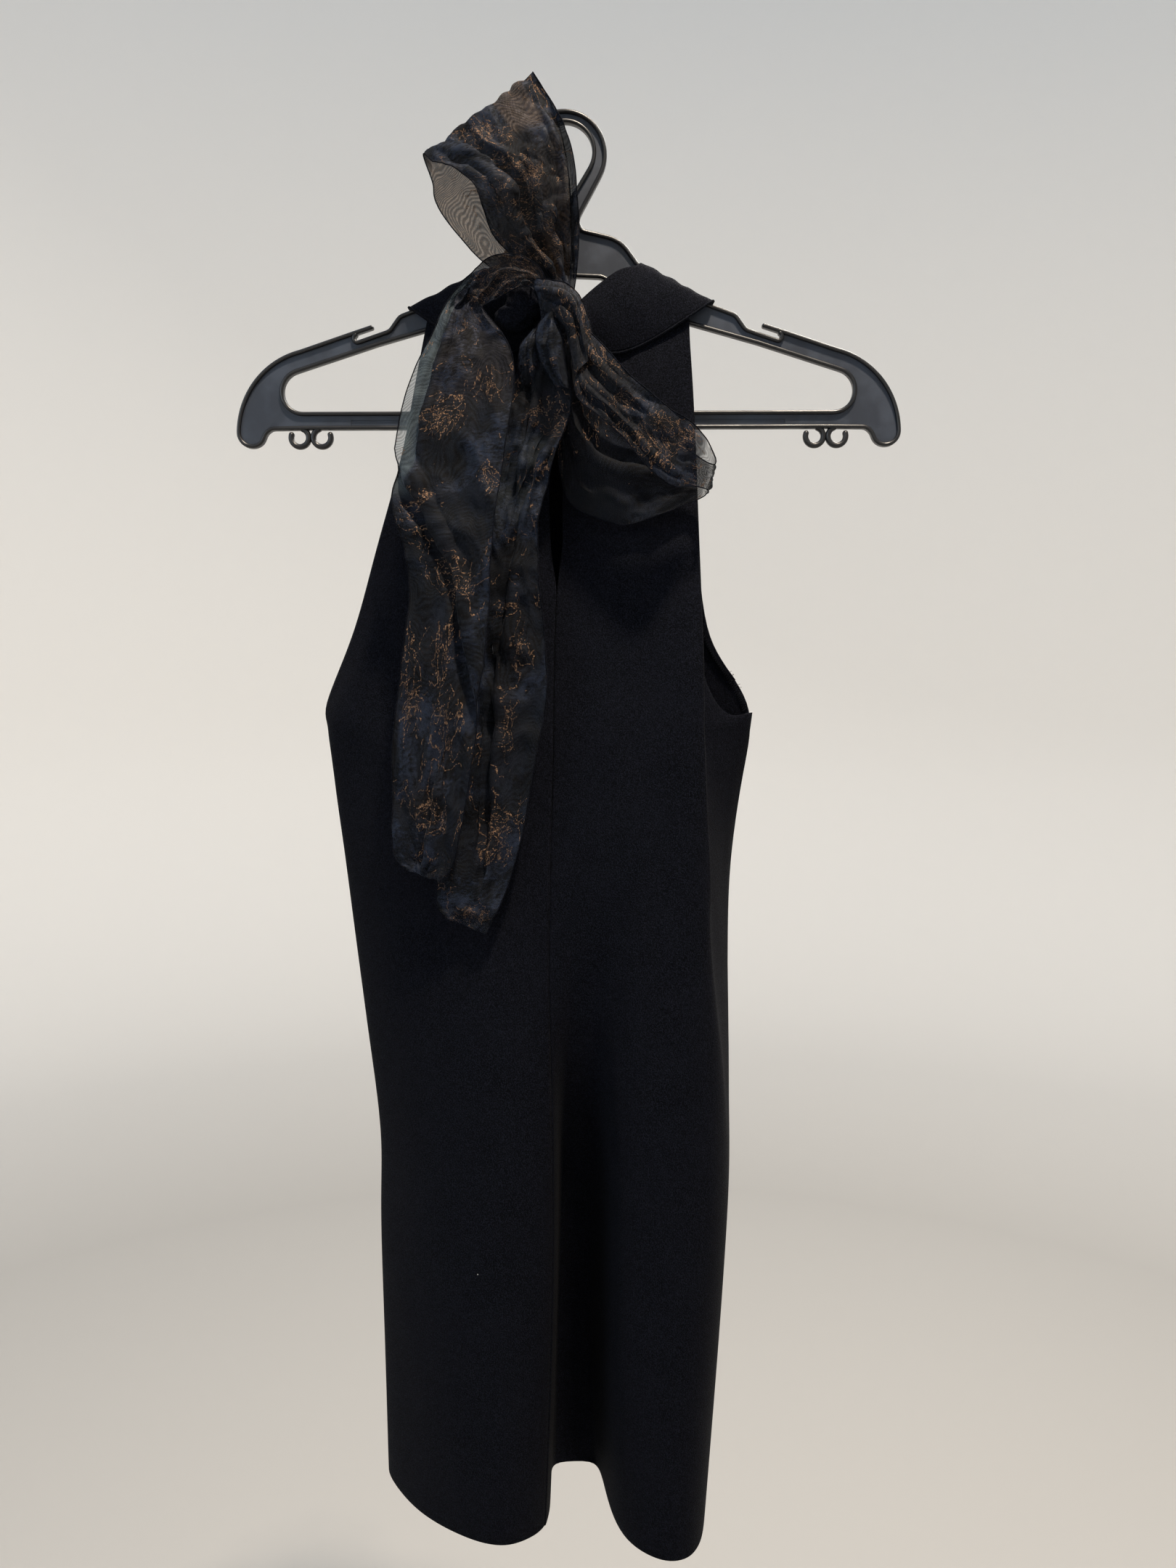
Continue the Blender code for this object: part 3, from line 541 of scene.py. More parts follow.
# %% Lines of the hanger
Arc = namedtuple("Arc", "x z radius start end steps")
HOOK_INSIDE = Arc(-1.5, -19.75, 18.4, -30, 205, 22)
HOOK_OUTSIDE = Arc(-2.0, -21.2, 25.4, 205, -30, 24)
STEM_RIGHT = [(13.4, -45.9), (9.3, -53.1), (6.8, -58.0), (6.4, -62.0)]
STEM_LEFT = [(-7.0, -63.2), (-4.2, -58.0), (7.2, -40.6)]
ARM_TOP = [(8.9, -66.6), (18.2, -68.7), (27.6, -71.0), (33.0, -73.9), (36.6, -77.5),
           (43.7, -87.1), (87.5, -111.2), (104.5, -117.4), (111.0, -126.2)]
SLOT_END = Arc(131.2, -130.3, 2.6, -100, 60, 8)
FINGER = [(122.4, -123.7), (123.4, -124.0)]
SHOULDER_START = (137.0, -128.4)
SHOULDER = Arc(155.4, -189.3, 52.3, 77, 5, 14)
DROP_TIP = Arc(199.4, -188.0, 8.3, 0, -145, 10)
BAR_BOTTOM = [(190.7, -188.2), (187.0, -185.3), (164.0, -185.0)]
WINDOW_TOP = [(0.0, -92.8), (21.5, -93.8), (75.5, -121.7), (118.5, -133.7)]
WINDOW_END = Arc(166.5, -163.0, 13.4, 74, -90, 16)
CURL_INNER = Arc(155.2, -190.9, 5.6, 160, 432, 20)
CURL_OUTER = Arc(169.2, -190.9, 5.6, 20, -252, 20)
CORNER_REACH = 1.8          # how far from a corner its rounding begins,
CORNER_SHARE = 0.45         # but never past this share of a side
CORNER_STEPS = 2


def walk(arc):
    """The points of an arc, from its start angle to its end."""
    turns = [arc.start + (arc.end - arc.start) * i / arc.steps for i in range(arc.steps + 1)]
    return [(arc.x + arc.radius * cos(radians(a)), arc.z + arc.radius * sin(radians(a)))
            for a in turns]


def mirrored(path):
    """The same path on the hanger's other arm, walked the other way."""
    return [(-x, z) for x, z in reversed(path)]


def corners_cut(path, closed):
    """Replace each corner of a path by a short curve."""
    smooth = []
    for i, corner in enumerate(path):
        if not closed and i in (0, len(path) - 1):
            smooth.append(Vector(corner))
            continue
        here, before, after = Vector(corner), Vector(path[i - 1]), Vector(path[(i + 1) % len(path)])
        first = here.lerp(before, min(CORNER_SHARE, CORNER_REACH / (before - here).length))
        last = here.lerp(after, min(CORNER_SHARE, CORNER_REACH / (after - here).length))
        for step in range(CORNER_STEPS + 1):
            t = step / CORNER_STEPS
            smooth.append(first.lerp(here, t).lerp(here.lerp(last, t), t))
    return smooth


LOWER_HALF = [SHOULDER_START] + walk(SHOULDER) + walk(DROP_TIP) + BAR_BOTTOM
RIM_LOWER = LOWER_HALF + mirrored(LOWER_HALF)
ARM = ARM_TOP + walk(SLOT_END)
RIM_UPPER = mirrored(ARM) + STEM_LEFT + walk(HOOK_INSIDE) + walk(HOOK_OUTSIDE) + STEM_RIGHT + ARM
WINDOW_HALF = WINDOW_TOP + walk(WINDOW_END)
RIM_WINDOW = WINDOW_HALF + mirrored(WINDOW_HALF)[:-1]
print("rim points:", len(RIM_LOWER), len(RIM_UPPER), len(RIM_WINDOW))

# %% Rims and web of the hanger
WEB_DEPTH = 2.2
RECESS_DEPTH = 1.4
RIM_SECTION = (2.5, 6.0)        # how wide and how deep a rim is
CURL_SECTION = (3.4, 4.8)
RECESS = [(-136.5, -180.4), (136.5, -180.4), (136.5, -184.2), (-136.5, -184.2)]
TIP_TURNS = (84, 66, 45, 22)    # the degrees at which a round tip has its steps
UPRIGHT = Matrix.Rotation(radians(90.0), 3, "X")


def flat_curve(name, paths, closed, dimensions="2D"):
    """A flat curve of straight bits through points in millimetres."""
    curve = bpy.data.curves.new(name, "CURVE")
    curve.dimensions = dimensions
    for path in paths:
        spline = curve.splines.new("POLY")
        spline.points.add(len(path) - 1)
        spline.use_cyclic_u = closed
        for place, (x, z) in zip(spline.points, path):
            place.co = (x * MM, z * MM, 0.0, 1.0)
    return curve


def round_tips(path, width):
    """Lengthen an open path by the steps of two round tips; also gives each point's thickness."""
    tips, sizes = [], []
    for end, inner in ((path[0], path[1]), (path[-1], path[-2])):
        outward = (end - inner).normalized() * width / 2
        turns = [radians(a) for a in TIP_TURNS]
        tips.append([end + outward * sin(a) for a in turns])
        sizes.append([cos(a) for a in turns])
    return (tips[0] + path + tips[1][::-1],
            sizes[0] + [1.0] * len(path) + sizes[1][::-1])


def led_along(path, closed, section):
    """A rim led along a path: round in front and behind, straight between."""
    path = corners_cut(path, closed)
    sizes = [1.0] * len(path)
    if not closed:
        path, sizes = round_tips(path, section[0])
    curve = flat_curve("rim", [path], closed, "3D")
    curve.twist_mode = "Z_UP"
    curve.fill_mode = "FULL"
    curve.bevel_depth = section[0] / 2 * MM
    curve.extrude = (section[1] - section[0]) / 2 * MM
    curve.bevel_resolution = 3
    curve.use_fill_caps = True
    for place, size in zip(curve.splines[0].points, sizes):
        place.radius = size
    return curve


def filled(paths, depth):
    """A plate as thick as depth, whose outline is the first path and whose holes are the others."""
    curve = flat_curve("web", paths, True)
    curve.fill_mode = "BOTH"
    curve.extrude = depth / 2 * MM
    return curve


def pour(bm, curve, rim_layer, is_rim):
    """Add a curve's mesh to the moulding and mark whether it is part of a rim."""
    guide = bpy.data.objects.new(curve.name, curve)
    mesh = bpy.data.meshes.new_from_object(guide)
    bpy.data.objects.remove(guide)
    count = len(bm.verts)
    bm.from_mesh(mesh)
    bm.verts.ensure_lookup_table()
    for vertex in bm.verts[count:]:
        vertex[rim_layer] = is_rim


def make_hanger():
    bm = bmesh.new()
    rim = bm.verts.layers.float.new("rim")
    web = [corners_cut(RIM_LOWER + RIM_UPPER, True), corners_cut(RIM_WINDOW, True), RECESS]
    pour(bm, filled(web, WEB_DEPTH), rim, 0.0)
    pour(bm, filled([RECESS], RECESS_DEPTH), rim, 0.0)
    pour(bm, led_along(FINGER + RIM_LOWER + mirrored(FINGER), False, RIM_SECTION), rim, 1.0)
    pour(bm, led_along(RIM_UPPER, False, RIM_SECTION), rim, 1.0)
    pour(bm, led_along(RIM_WINDOW, True, RIM_SECTION), rim, 1.0)
    for curl in (walk(CURL_INNER), walk(CURL_OUTER)):
        for path in (curl, mirrored(curl)):
            pour(bm, led_along(path, False, CURL_SECTION), rim, 1.0)
    bmesh.ops.rotate(bm, cent=(0, 0, 0), matrix=UPRIGHT, verts=bm.verts)
    bmesh.ops.translate(bm, vec=spot(0, 0, 0), verts=bm.verts)
    bmesh.ops.remove_doubles(bm, verts=bm.verts, dist=MERGE_DISTANCE)
    bmesh.ops.recalc_face_normals(bm, faces=bm.faces)
    piece = from_bmesh("hanger_moulding", bm, plastic)
    piece.data.set_sharp_from_angle(angle=radians(40))
    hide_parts("hanger")
    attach(piece, "root")
    return piece


hanger = make_hanger()
print("hanger", len(hanger.data.polygons), "faces,",
      [round(1000 * c, 1) for c in hanger.dimensions], "mm")

# %% [markdown]
# ## The crepe panels
# Each panel of the construction is a coarse closed wall. Its finer copy is made in three steps: the
# loose triangles are merged and joined to quads, one subdivision rounds them, and then soft creases
# are pressed in before a second subdivision. A crease is a short bowed line on the dress with a
# depth and a width. Both faces of the wall move together, so the wall keeps its thickness. The
# creases are uneven on purpose: slanting ones pull from the collar and the armholes, long shallow
# ones run down the skirt, and the hidden back has its own.

# %% Creases
Crease = namedtuple("Crease", "x1 z1 x2 z2 bow height width")
FRONT_CREASES = [
    Crease(72, -122, 30, -172, 3, 2.4, 5), Crease(76, -136, 40, -200, 5, 2.6, 6),
    Crease(77, -170, 58, -262, 5, -1.8, 6), Crease(28, -150, 52, -250, -4, 1.6, 9),
    Crease(64, -250, 20, -330, 6, 1.0, 12), Crease(72, -300, 40, -420, 8, -0.9, 11),
    Crease(12, -290, 24, -430, -3, 0.9, 12), Crease(50, -430, 44, -600, 4, 0.8, 12),
    Crease(-88, -140, -52, -196, -3, 1.5, 6), Crease(-100, -196, -70, -280, -4, 1.4, 8),
    Crease(-128, -300, -92, -360, -5, -1.2, 7), Crease(-150, -366, -110, -398, -5, 1.6, 6),
    Crease(-148, -380, -118, -450, -6, -1.2, 8), Crease(-120, -420, -104, -600, 4, 0.9, 12),
    Crease(-84, -440, -78, -660, -5, -0.8, 14), Crease(-50, -470, -58, -640, 5, 0.8, 13),
    Crease(-132, -520, -126, -690, 3, 1.0, 8), Crease(-128, -700, -92, -862, -9, 1.5, 8),
    Crease(-100, -720, -84, -896, 5, -1.1, 10), Crease(-60, -700, -70, -900, 5, 0.9, 14),
    Crease(-34, -650, -28, -880, -4, -0.9, 9), Crease(92, -560, 96, -720, 2, 1.2, 5),
    Crease(60, -640, 52, -800, 4, -0.9, 12), Crease(78, -700, 70, -893, -3, 1.1, 11),
    Crease(94, -420, 98, -520, 2, 1.2, 5), Crease(108, -372, 92, -430, 4, 1.5, 5),
    Crease(4, -560, 8, -880, 2, 1.2, 4), Crease(46, -690, 42, -890, -2, 1.0, 6),
]
BACK_CREASES = [
    Crease(-80, -140, -40, -210, 4, 1.4, 8), Crease(66, -140, 24, -220, -4, 1.4, 8),
    Crease(-120, -300, -60, -350, -6, 1.2, 9), Crease(92, -320, 50, -370, 6, 1.2, 9),
    Crease(-146, -372, -96, -420, -6, 1.5, 7), Crease(108, -366, 70, -430, 5, 1.5, 7),
    Crease(-20, -240, -26, -420, 4, -1.0, 12), Crease(20, -260, 36, -460, -4, 1.0, 12),
    Crease(-100, -450, -92, -690, 5, 1.0, 13), Crease(78, -450, 84, -700, -5, 1.0, 12),
    Crease(-10, -430, 2, -700, 5, -1.0, 14), Crease(-90, -700, -100, -896, 4, 1.2, 11),
    Crease(0, -720, -8, -896, 4, 1.2, 12), Crease(74, -720, 66, -896, -4, 1.2, 10),
]
CREASE_TAPER = 0.8          # below 1, a crease stays deep over more of its length


def crease_height(creases, x, z):
    """How far, in mm, the cloth stands out of its panel at a place seen from the front."""
    total = 0.0
    for crease in creases:
        run_x, run_z = crease.x2 - crease.x1, crease.z2 - crease.z1
        length = hypot(run_x, run_z)
        along = ((x - crease.x1) * run_x + (z - crease.z1) * run_z) / length ** 2
        if not 0.0 < along < 1.0:
            continue
        bow = 4.0 * crease.bow * along * (1.0 - along)
        aside = ((x - crease.x1) * run_z - (z - crease.z1) * run_x) / length - bow
        total += crease.height * sin(pi * along) ** CREASE_TAPER * exp(-(aside / crease.width) ** 2)
    return total


print(len(FRONT_CREASES), "creases in front,", len(BACK_CREASES), "behind")


# %% A finer copy of a panel
RIM_CREASE = 0.85           # keeps the subdivided wall's rims from rounding away
NECK_LEVEL = -150.0         # from this height down the creases are pressed in fully,
NECK_EASE = 25.0            # and this far above it, under the collar, the panels stay plain


def quads_of(node):
    """A merged copy of a node's mesh with its triangles joined to quads."""
    bm = bmesh.new()
    bm.from_mesh(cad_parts[node].data)
    bmesh.ops.remove_doubles(bm, verts=bm.verts, dist=MERGE_DISTANCE)
    bmesh.ops.join_triangles(bm, faces=bm.faces, angle_face_threshold=radians(50),
                             angle_shape_threshold=radians(70), topology_influence=1.5)
    return bm


def sharpen_rims(bm, weight):
    """Give the edges where a wall turns to its rim a subdivision crease."""
    layer = bm.edges.layers.float.new("crease_edge")
    for edge in bm.edges:
        if len(edge.link_faces) == 2 and edge.calc_face_angle() > radians(60):
            edge[layer] = weight


def smooth_once(piece):
    """Give a piece one level of subdivision, live in its modifiers."""
    smooth = piece.modifiers.new("Smooth", "SUBSURF")
    smooth.levels = smooth.render_levels = 1


def subdivide(piece):
    """Replace a piece's mesh by its subdivided form."""
    smooth_once(piece)
    bpy.context.view_layer.update()
    finished = piece.evaluated_get(bpy.context.evaluated_depsgraph_get())
    fine = bpy.data.meshes.new_from_object(finished)
    piece.modifiers.clear()
    piece.data = fine


def on_tables(point):
    """Where a point of the frame, in metres, lies in the tables, seen from the front in mm."""
    return point.x / MM - TABLE_ZERO[0], point.z / MM - TABLE_ZERO[2]


def press_creases(mesh, creases, outward):
    for vertex in mesh.vertices:
        x, z = on_tables(vertex.co)
        ease = min(max((NECK_LEVEL + NECK_EASE - z) / NECK_EASE, 0.0), 1.0)
        vertex.co.y += outward * ease * crease_height(creases, x, z) * MM


def begin_panel(node):
    """A node's wall with sharp rims, once subdivided, ready for its creases."""
    bm = quads_of(node)
    sharpen_rims(bm, RIM_CREASE)
    piece = from_bmesh(node + "_cloth", bm)
    subdivide(piece)
    return piece


def finish_panel(piece, node):
    """Dress a wall in crepe, smooth it once more and let it stand for its node."""
    piece.data.materials.clear()
    piece.data.materials.append(crepe)
    smooth_once(piece)
    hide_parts(node)
    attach(piece, "root")


def make_panel(node, creases, outward):
    piece = begin_panel(node)
    press_creases(piece.data, creases, outward)
    finish_panel(piece, node)
    return piece


front_left = make_panel("front_left", FRONT_CREASES, -1.0)
front_right = make_panel("front_right", FRONT_CREASES, -1.0)
back = make_panel("back", BACK_CREASES, 1.0)
for piece in (front_left, front_right, back):
    print(piece.name, len(piece.data.polygons) * 4, "faces")

# %% [markdown]
# ## The seams
# Walls that stand a hair apart would let light through, where sewn cloth lets none. So each rim
# that lies close to its neighbour is drawn up to it. At the sides the rims bite into each other.
# At the centre front a hair's breadth is kept, which shows as the seam's fine line. The slit under
# the bow is wider than the reach and stays open.

# %% Closing the seams
SIDE_SEAM = -0.12 * MM      # the gap at a side seam: its rims bite into each other
CENTRE_SEAM = 0.25 * MM     # the gap at the centre front, which shows as a fine line
SEAM_REACH = 3.4 * MM       # rims closer than this are drawn together


def close_seam(piece, neighbour, gap):
    """Draw a panel's rim up to its neighbour, where the two are sewn together."""
    bm = bmesh.new()
    bm.from_mesh(neighbour.data)
    wall = BVHTree.FromBMesh(bm)
    bm.free()
    drawn = 0
    for vertex in piece.data.vertices:
        near, _, _, distance = wall.find_nearest(vertex.co, SEAM_REACH)
        if near is not None and distance > abs(gap):
            share = min((SEAM_REACH - distance) / MM, 1.0)
            vertex.co = vertex.co.lerp(near, share * (1.0 - gap / distance))
            drawn += 1
    return drawn


def full_area(piece):
    """The area of all faces of a piece, in square metres."""
    bpy.context.view_layer.update()
    seen = piece.evaluated_get(bpy.context.evaluated_depsgraph_get()).to_mesh()
    return sum(face.area for face in seen.polygons)


def half_area(piece):
    """The area of one face of a walled piece, in square metres."""
    return full_area(piece) / 2


seam_points = [close_seam(front_left, back, SIDE_SEAM), close_seam(front_right, back, SIDE_SEAM),
               close_seam(front_left, front_right, CENTRE_SEAM)]
print("points drawn to the left, right and centre seams:", seam_points)
print("m2 of the panels:", [round(half_area(p), 4) for p in (front_left, front_right, back)])

# %% [markdown]
# ## The cut of the panels
# Before it hung, each panel was flat. A half of the front is a trapezium, narrow at the neck and
# wide at the hem. The back is one piece and narrower than both halves together, because the deep
# standing fold is all in front.

# %% The cut
Cut = namedtuple("Cut", "width length area")

# %% [markdown]
# ## Collar and armhole strip
# The collar is a band of doubled crepe folded over the hanger's arms. Its finer copy dips and
# bulges a little along the ridge, where the doubled cloth wrinkles over the arm. The strip in the
# right armhole is made as the panels are.

# %% Collar and strip
RidgeDip = namedtuple("RidgeDip", "x height width")
RIDGE_DIPS = [
    RidgeDip(46, -2.3, 8), RidgeDip(33, 1.2, 8), RidgeDip(60, -2.6, 3.4), RidgeDip(71, -2.4, 3.0),
    RidgeDip(81, -1.6, 3), RidgeDip(-50, -2.2, 8), RidgeDip(-66, -2.6, 4), RidgeDip(-80, -2.2, 4),
]
RIDGE_REACH = 15.0          # how far below the ridge a dip is felt, in mm
RIDGE_TOP = (-2.5, 48.0, -84.0)     # the collar's middle, and the ridge's highest spots beside it
RIDGE_FALL = 0.55           # how steeply the ridge falls on both sides of them
FLATTEST = -0.2             # no crease goes deeper into the collar than this
COLLAR_CREASES = [
    Crease(66, -86, 40, -112, 3, 0.9, 4), Crease(76, -96, 56, -116, 2, 0.8, 4),
    Crease(30, -100, 44, -128, -3, 0.9, 6), Crease(14, -112, 26, -134, -2, 0.8, 4),
    Crease(-80, -100, -60, -122, 2, 0.8, 4), Crease(-44, -100, -60, -128, 2, -0.7, 5),
]


def ridge_share(x, z):
    """1 on the collar's ridge and above, fading to 0 below it."""
    middle, aside, top = RIDGE_TOP
    ridge = top - RIDGE_FALL * abs(abs(x - middle) - aside)
    return max(0.0, 1.0 - max(ridge - z, 0.0) / RIDGE_REACH)


def make_collar():
    piece = begin_panel("collar")
    for vertex in piece.data.vertices:
        x, z = on_tables(vertex.co)
        outward = -1.0 if vertex.co.y < 0 else 1.0
        share = min(abs(vertex.co.y) / (8 * MM), 1.0)
        crease = max(crease_height(COLLAR_CREASES, x, z), FLATTEST)
        dip = sum(d.height * exp(-((x - d.x) / d.width) ** 2) for d in RIDGE_DIPS)
        vertex.co.y += outward * share * crease * MM
        vertex.co.z += ridge_share(x, z) * dip * MM
    finish_panel(piece, "collar")
    return piece


collar = make_collar()
strip = make_panel("armhole_hem", [], 1.0)
print("collar", round(half_area(collar), 4), "m2, strip", round(half_area(strip), 5), "m2")

# %% [markdown]
# ## Sewing
# Three small things show that the dress was sewn. The collar's edge is a narrow piping, turned over
# a cord: it is led along the rim that is read from the finer collar, so it lies on the cloth. The
# raw back edge of the armhole is overlocked: one thread runs to and fro over the edge strip. And a
# few ends have frayed out of it. These two follow the armhole's rim, which is a short table.

# %% Rims of a piece
def rim_lines(mesh):
    """The creased rims of a walled piece, as rows of points, longest first."""
    bm = bmesh.new()
    bm.from_mesh(mesh)
    layer = bm.edges.layers.float.get("crease_edge")
    left = {edge.index: edge for edge in bm.edges if edge[layer] > 0.5}
    lines = []
    while left:
        edge = left.pop(next(iter(left)))
        line = list(edge.verts)
        for _ in range(2):
            while True:
                onward = [e for e in line[-1].link_edges if e.index in left]
                if len(onward) != 1:
                    break
                del left[onward[0].index]
                line.append(onward[0].other_vert(line[-1]))
            line.reverse()
        lines.append([vertex.co.copy() for vertex in line])
    bm.free()
    return sorted(lines, key=len, reverse=True)


def thread(name, points, radius, material):
    """A round thread or cord through points, with its radius in millimetres."""
    curve = bpy.data.curves.new(name, "CURVE")
    curve.dimensions = "3D"
    curve.bevel_depth = radius * MM
    curve.bevel_resolution = 1
    spline = curve.splines.new("POLY")
    spline.points.add(len(points) - 1)
    for place, point in zip(spline.points, points):
        place.co = (*point, 1.0)
    curve.materials.append(material)
    thing = bpy.data.objects.new(name, curve)
    bpy.context.scene.collection.objects.link(thing)
    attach(thing, "root")
    return thing


collar_rims = rim_lines(collar.data)
print("collar rims", [len(line) for line in collar_rims[:3]])

# %% Sewing thread
THREAD_BLACKS = ((0.004, 0.004, 0.005, 1), (0.022, 0.021, 0.023, 1))


def make_sewing_thread():
    """Black twisted thread: a little shinier than the crepe, with its ply as a fine ripple."""
    material, tree, shader = new_material("sewing_thread")
    place = add(tree, "ShaderNodeTexCoord").outputs["Object"]
    ply = noise_at(tree, place, 2400.0, 2.0, 0.6)
    tree.links.new(mix_colour(tree, fade(tree, ply, 0.35, 0.65), *THREAD_BLACKS),
                   shader.inputs["Base Color"])
    shader.inputs["Roughness"].default_value = 0.55
    shader.inputs["Specular IOR Level"].default_value = 0.25
    bump = add(tree, "ShaderNodeBump", {"Strength": 0.3, "Distance": 0.0001, "Height": ply})
    tree.links.new(bump.outputs["Normal"], shader.inputs["Normal"])
    return material


sewing_thread = make_sewing_thread()
print("thread", len(sewing_thread.node_tree.nodes), "nodes")

# %% Piping, overlock and fray
PIPING_RADIUS = 0.75
LOW_EDGE = (-112.0, 45.0, 0.16)     # the collar's lower edge lies below this height, which rises
                                    # from this far out on both sides, at this slope
ARMHOLE_RIM = [
    (78.9, 6.5, -206.6), (80.8, 7.4, -232.6), (82.9, 8.5, -258.6), (85.3, 9.8, -282.6),
    (88.2, 11.0, -302.6), (91.9, 11.8, -315.6), (96.7, 12.4, -325.6), (102.7, 12.8, -334.6),
    (109.1, 13.2, -344.1), (114.8, 13.5, -353.6), (118.4, 13.9, -363.6),
]
STRIP_END = -343.0          # below this height the overlock lies on the back panel itself
ABOVE_STRIP = 1.25          # how far in front of the rim the thread lies, on the strip
ABOVE_PANEL = 0.35          # and on the back panel
Overlock = namedtuple("Overlock", "radius step near far")
OVERLOCK = Overlock(0.14, 0.8, 0.9, 4.2)    # it runs to and fro from near the rim to far from it
Fray = namedtuple("Fray", "z right up")
FRAYS = [
    Fray(-338.5, 0.9, 0.8), Fray(-340.0, 1.3, 0.2), Fray(-341.0, 0.8, 1.1),
    Fray(-347.0, 1.2, 0.9), Fray(-348.2, 1.5, -0.1),
]


def lower_edge(line):
    """The part of the collar's rim that runs round its lower edge, in one row."""
    level, out, slope = LOW_EDGE
    low = [p.z / MM < level + slope * max(abs(p.x / MM) - out, 0.0) for p in line]
    start = next(i for i in range(len(line)) if low[i] and not low[i - 1])
    turned = [(line + line)[start + i] for i in range(len(line))]
    return [p for i, p in enumerate(turned) if low[(start + i) % len(line)]]


def rim_at(z):
    """Where the overlock lies on the rim at a height: its x and y."""
    heights = [-place[2] for place in ARMHOLE_RIM]
    x, y = (np.interp(-z, heights, [place[axis] for place in ARMHOLE_RIM]) for axis in (0, 1))
    return x, y - (ABOVE_STRIP if z > STRIP_END else ABOVE_PANEL)


def overlock_points():
    """A thread's way to and fro over the raw edge, square to the rim."""
    points, z = [], ARMHOLE_RIM[0][2] - 1.0
    while z > ARMHOLE_RIM[-1][2] + 1.0:
        x, y = rim_at(z)
        run = Vector((rim_at(z - 1.0)[0] - x, -1.0)).normalized()
        aside = OVERLOCK.far if len(points) % 2 else OVERLOCK.near
        points.append(spot(x + run.y * aside, y, z - run.x * aside))
        z += run.y * OVERLOCK.step
    return points


def fray_points(fray):
    """A short end that leaves the rim and bends a little before its tip."""
    x, y = rim_at(fray.z)
    return [spot(x - 0.6, y, fray.z), spot(x + fray.right * 0.5, y, fray.z + fray.up * 0.8),
            spot(x + fray.right, y - 0.3, fray.z + fray.up)]


def depth_of(line):
    return max(p.y for p in line) - min(p.y for p in line)


outer_rim = max(collar_rims[:2], key=depth_of)
piped, sewn = lower_edge(outer_rim[:-1]), overlock_points()     # a ring ends where it began
piping = thread("collar_piping", piped, PIPING_RADIUS, crepe)
overlock = thread("armhole_overlock", sewn, OVERLOCK.radius, sewing_thread)
frays = [thread(f"fray_{number}", fray_points(fray), OVERLOCK.radius, sewing_thread)
         for number, fray in enumerate(FRAYS, 1)]
print(piping.name, len(piped), "points,", overlock.name, len(sewn), "points,", len(frays), "frays")

# %% [markdown]
# ## The bow
# The tie is a tube of organza pressed flat. Each stretch is led through a short table of rows: a
# row lies across the tie from its first edge to its second. A smooth surface runs through them,
# gathered round the knot. Then it is folded: a fold shifts the cloth sideways so far that it
# doubles back over itself, while it climbs from under the fold to the top of it. Crisp crinkles
# come last. The sheet stays a single skin, as thin as the cloth is beside its size; how many plies
# it stands for, and where copper threads lie closest, is painted on its points.

# %% Smooth surfaces through rows
TieRow = namedtuple("TieRow", "first second")
CONTROL_COLUMNS = 11


def refine(net, steps):
    """Smooth rows between the rows of a net of points, with so many steps in each gap."""
    net = np.asarray(net, float)
    gaps = np.sqrt(np.linalg.norm(np.diff(net, axis=0), axis=2, keepdims=True)) + 1e-6
    steep = np.diff(net, axis=0) / gaps
    share = gaps[:-1] / (gaps[:-1] + gaps[1:])
    slopes = np.concatenate([steep[:1], steep[:-1] * (1 - share) + steep[1:] * share, steep[-1:]])
    t = (np.arange(1, steps + 1) / steps)[:, None, None]
    lines = [net[:1]]
    for i, gap in enumerate(gaps):
        leaving = slopes[i] * gap * (t - 2 * t ** 2 + t ** 3)
        arriving = slopes[i + 1] * gap * (t ** 3 - t ** 2)
        near = net[i] * (1 - 3 * t ** 2 + 2 * t ** 3) + leaving
        far = net[i + 1] * (3 * t ** 2 - 2 * t ** 3) + arriving
        lines.append(near + far)
    return np.concatenate(lines)


def smooth_step(t):
    """Lead t softly from 0 to 1."""
    t = np.clip(t, 0.0, 1.0)
    return t * t * (3 - 2 * t)


def net_of(rows, start=None, end=None, bulge=0.0):
    """Control points across each row, in metres, with the gathered rows at its ends."""
    shares = np.linspace(0.0, 1.0, CONTROL_COLUMNS)[:, None]
    swell = np.sin(pi * shares) * np.array([0.0, -bulge * MM, 0.0])
    net = [start] if start is not None else []
    for row in rows:
        first, second = np.array(spot(*row.first)), np.array(spot(*row.second))
        net.append(first * (1 - shares) + second * shares + swell)
    if end is not None:
        net.append(end)
    return net


def surface_through(net, down, across):
    """A smooth grid of points through a net, with so many steps down and across each gap."""
    return refine(refine(net, down).swapaxes(0, 1), across).swapaxes(0, 1)


def length_of(surface):
    """The mean length of a surface's columns, in metres."""
    return float(np.linalg.norm(np.diff(surface, axis=0), axis=2).sum(axis=0).mean())


def read_across(surface, shares):
    """The points of a surface at other shares across it, row by row."""
    columns = np.linspace(0.0, 1.0, surface.shape[1])
    return np.stack([np.stack([np.interp(shares[r], columns, surface[r, :, axis])
                               for axis in range(3)], axis=1) for r in range(len(surface))])


def facing(surface):
    """Unit normals of a surface."""
    normal = np.cross(np.gradient(surface, axis=0), np.gradient(surface, axis=1))
    return normal / np.maximum(np.linalg.norm(normal, axis=2, keepdims=True), 1e-9)


def shares_of(surface):
    """How far down and how far across a surface each of its points lies, from 0 to 1."""
    rows, columns = surface.shape[:2]
    return np.meshgrid(np.linspace(0, 1, rows), np.linspace(0, 1, columns), indexing="ij")


print("surface helpers ready")


# %% [markdown]
# ## Folding
# A fold runs from its top to its foot down a stretch and from its start to its end across it, all
# as shares of the stretch. Within its width it shifts the cloth by its overlap, counted in widths,
# and lifts it by so many millimetres.

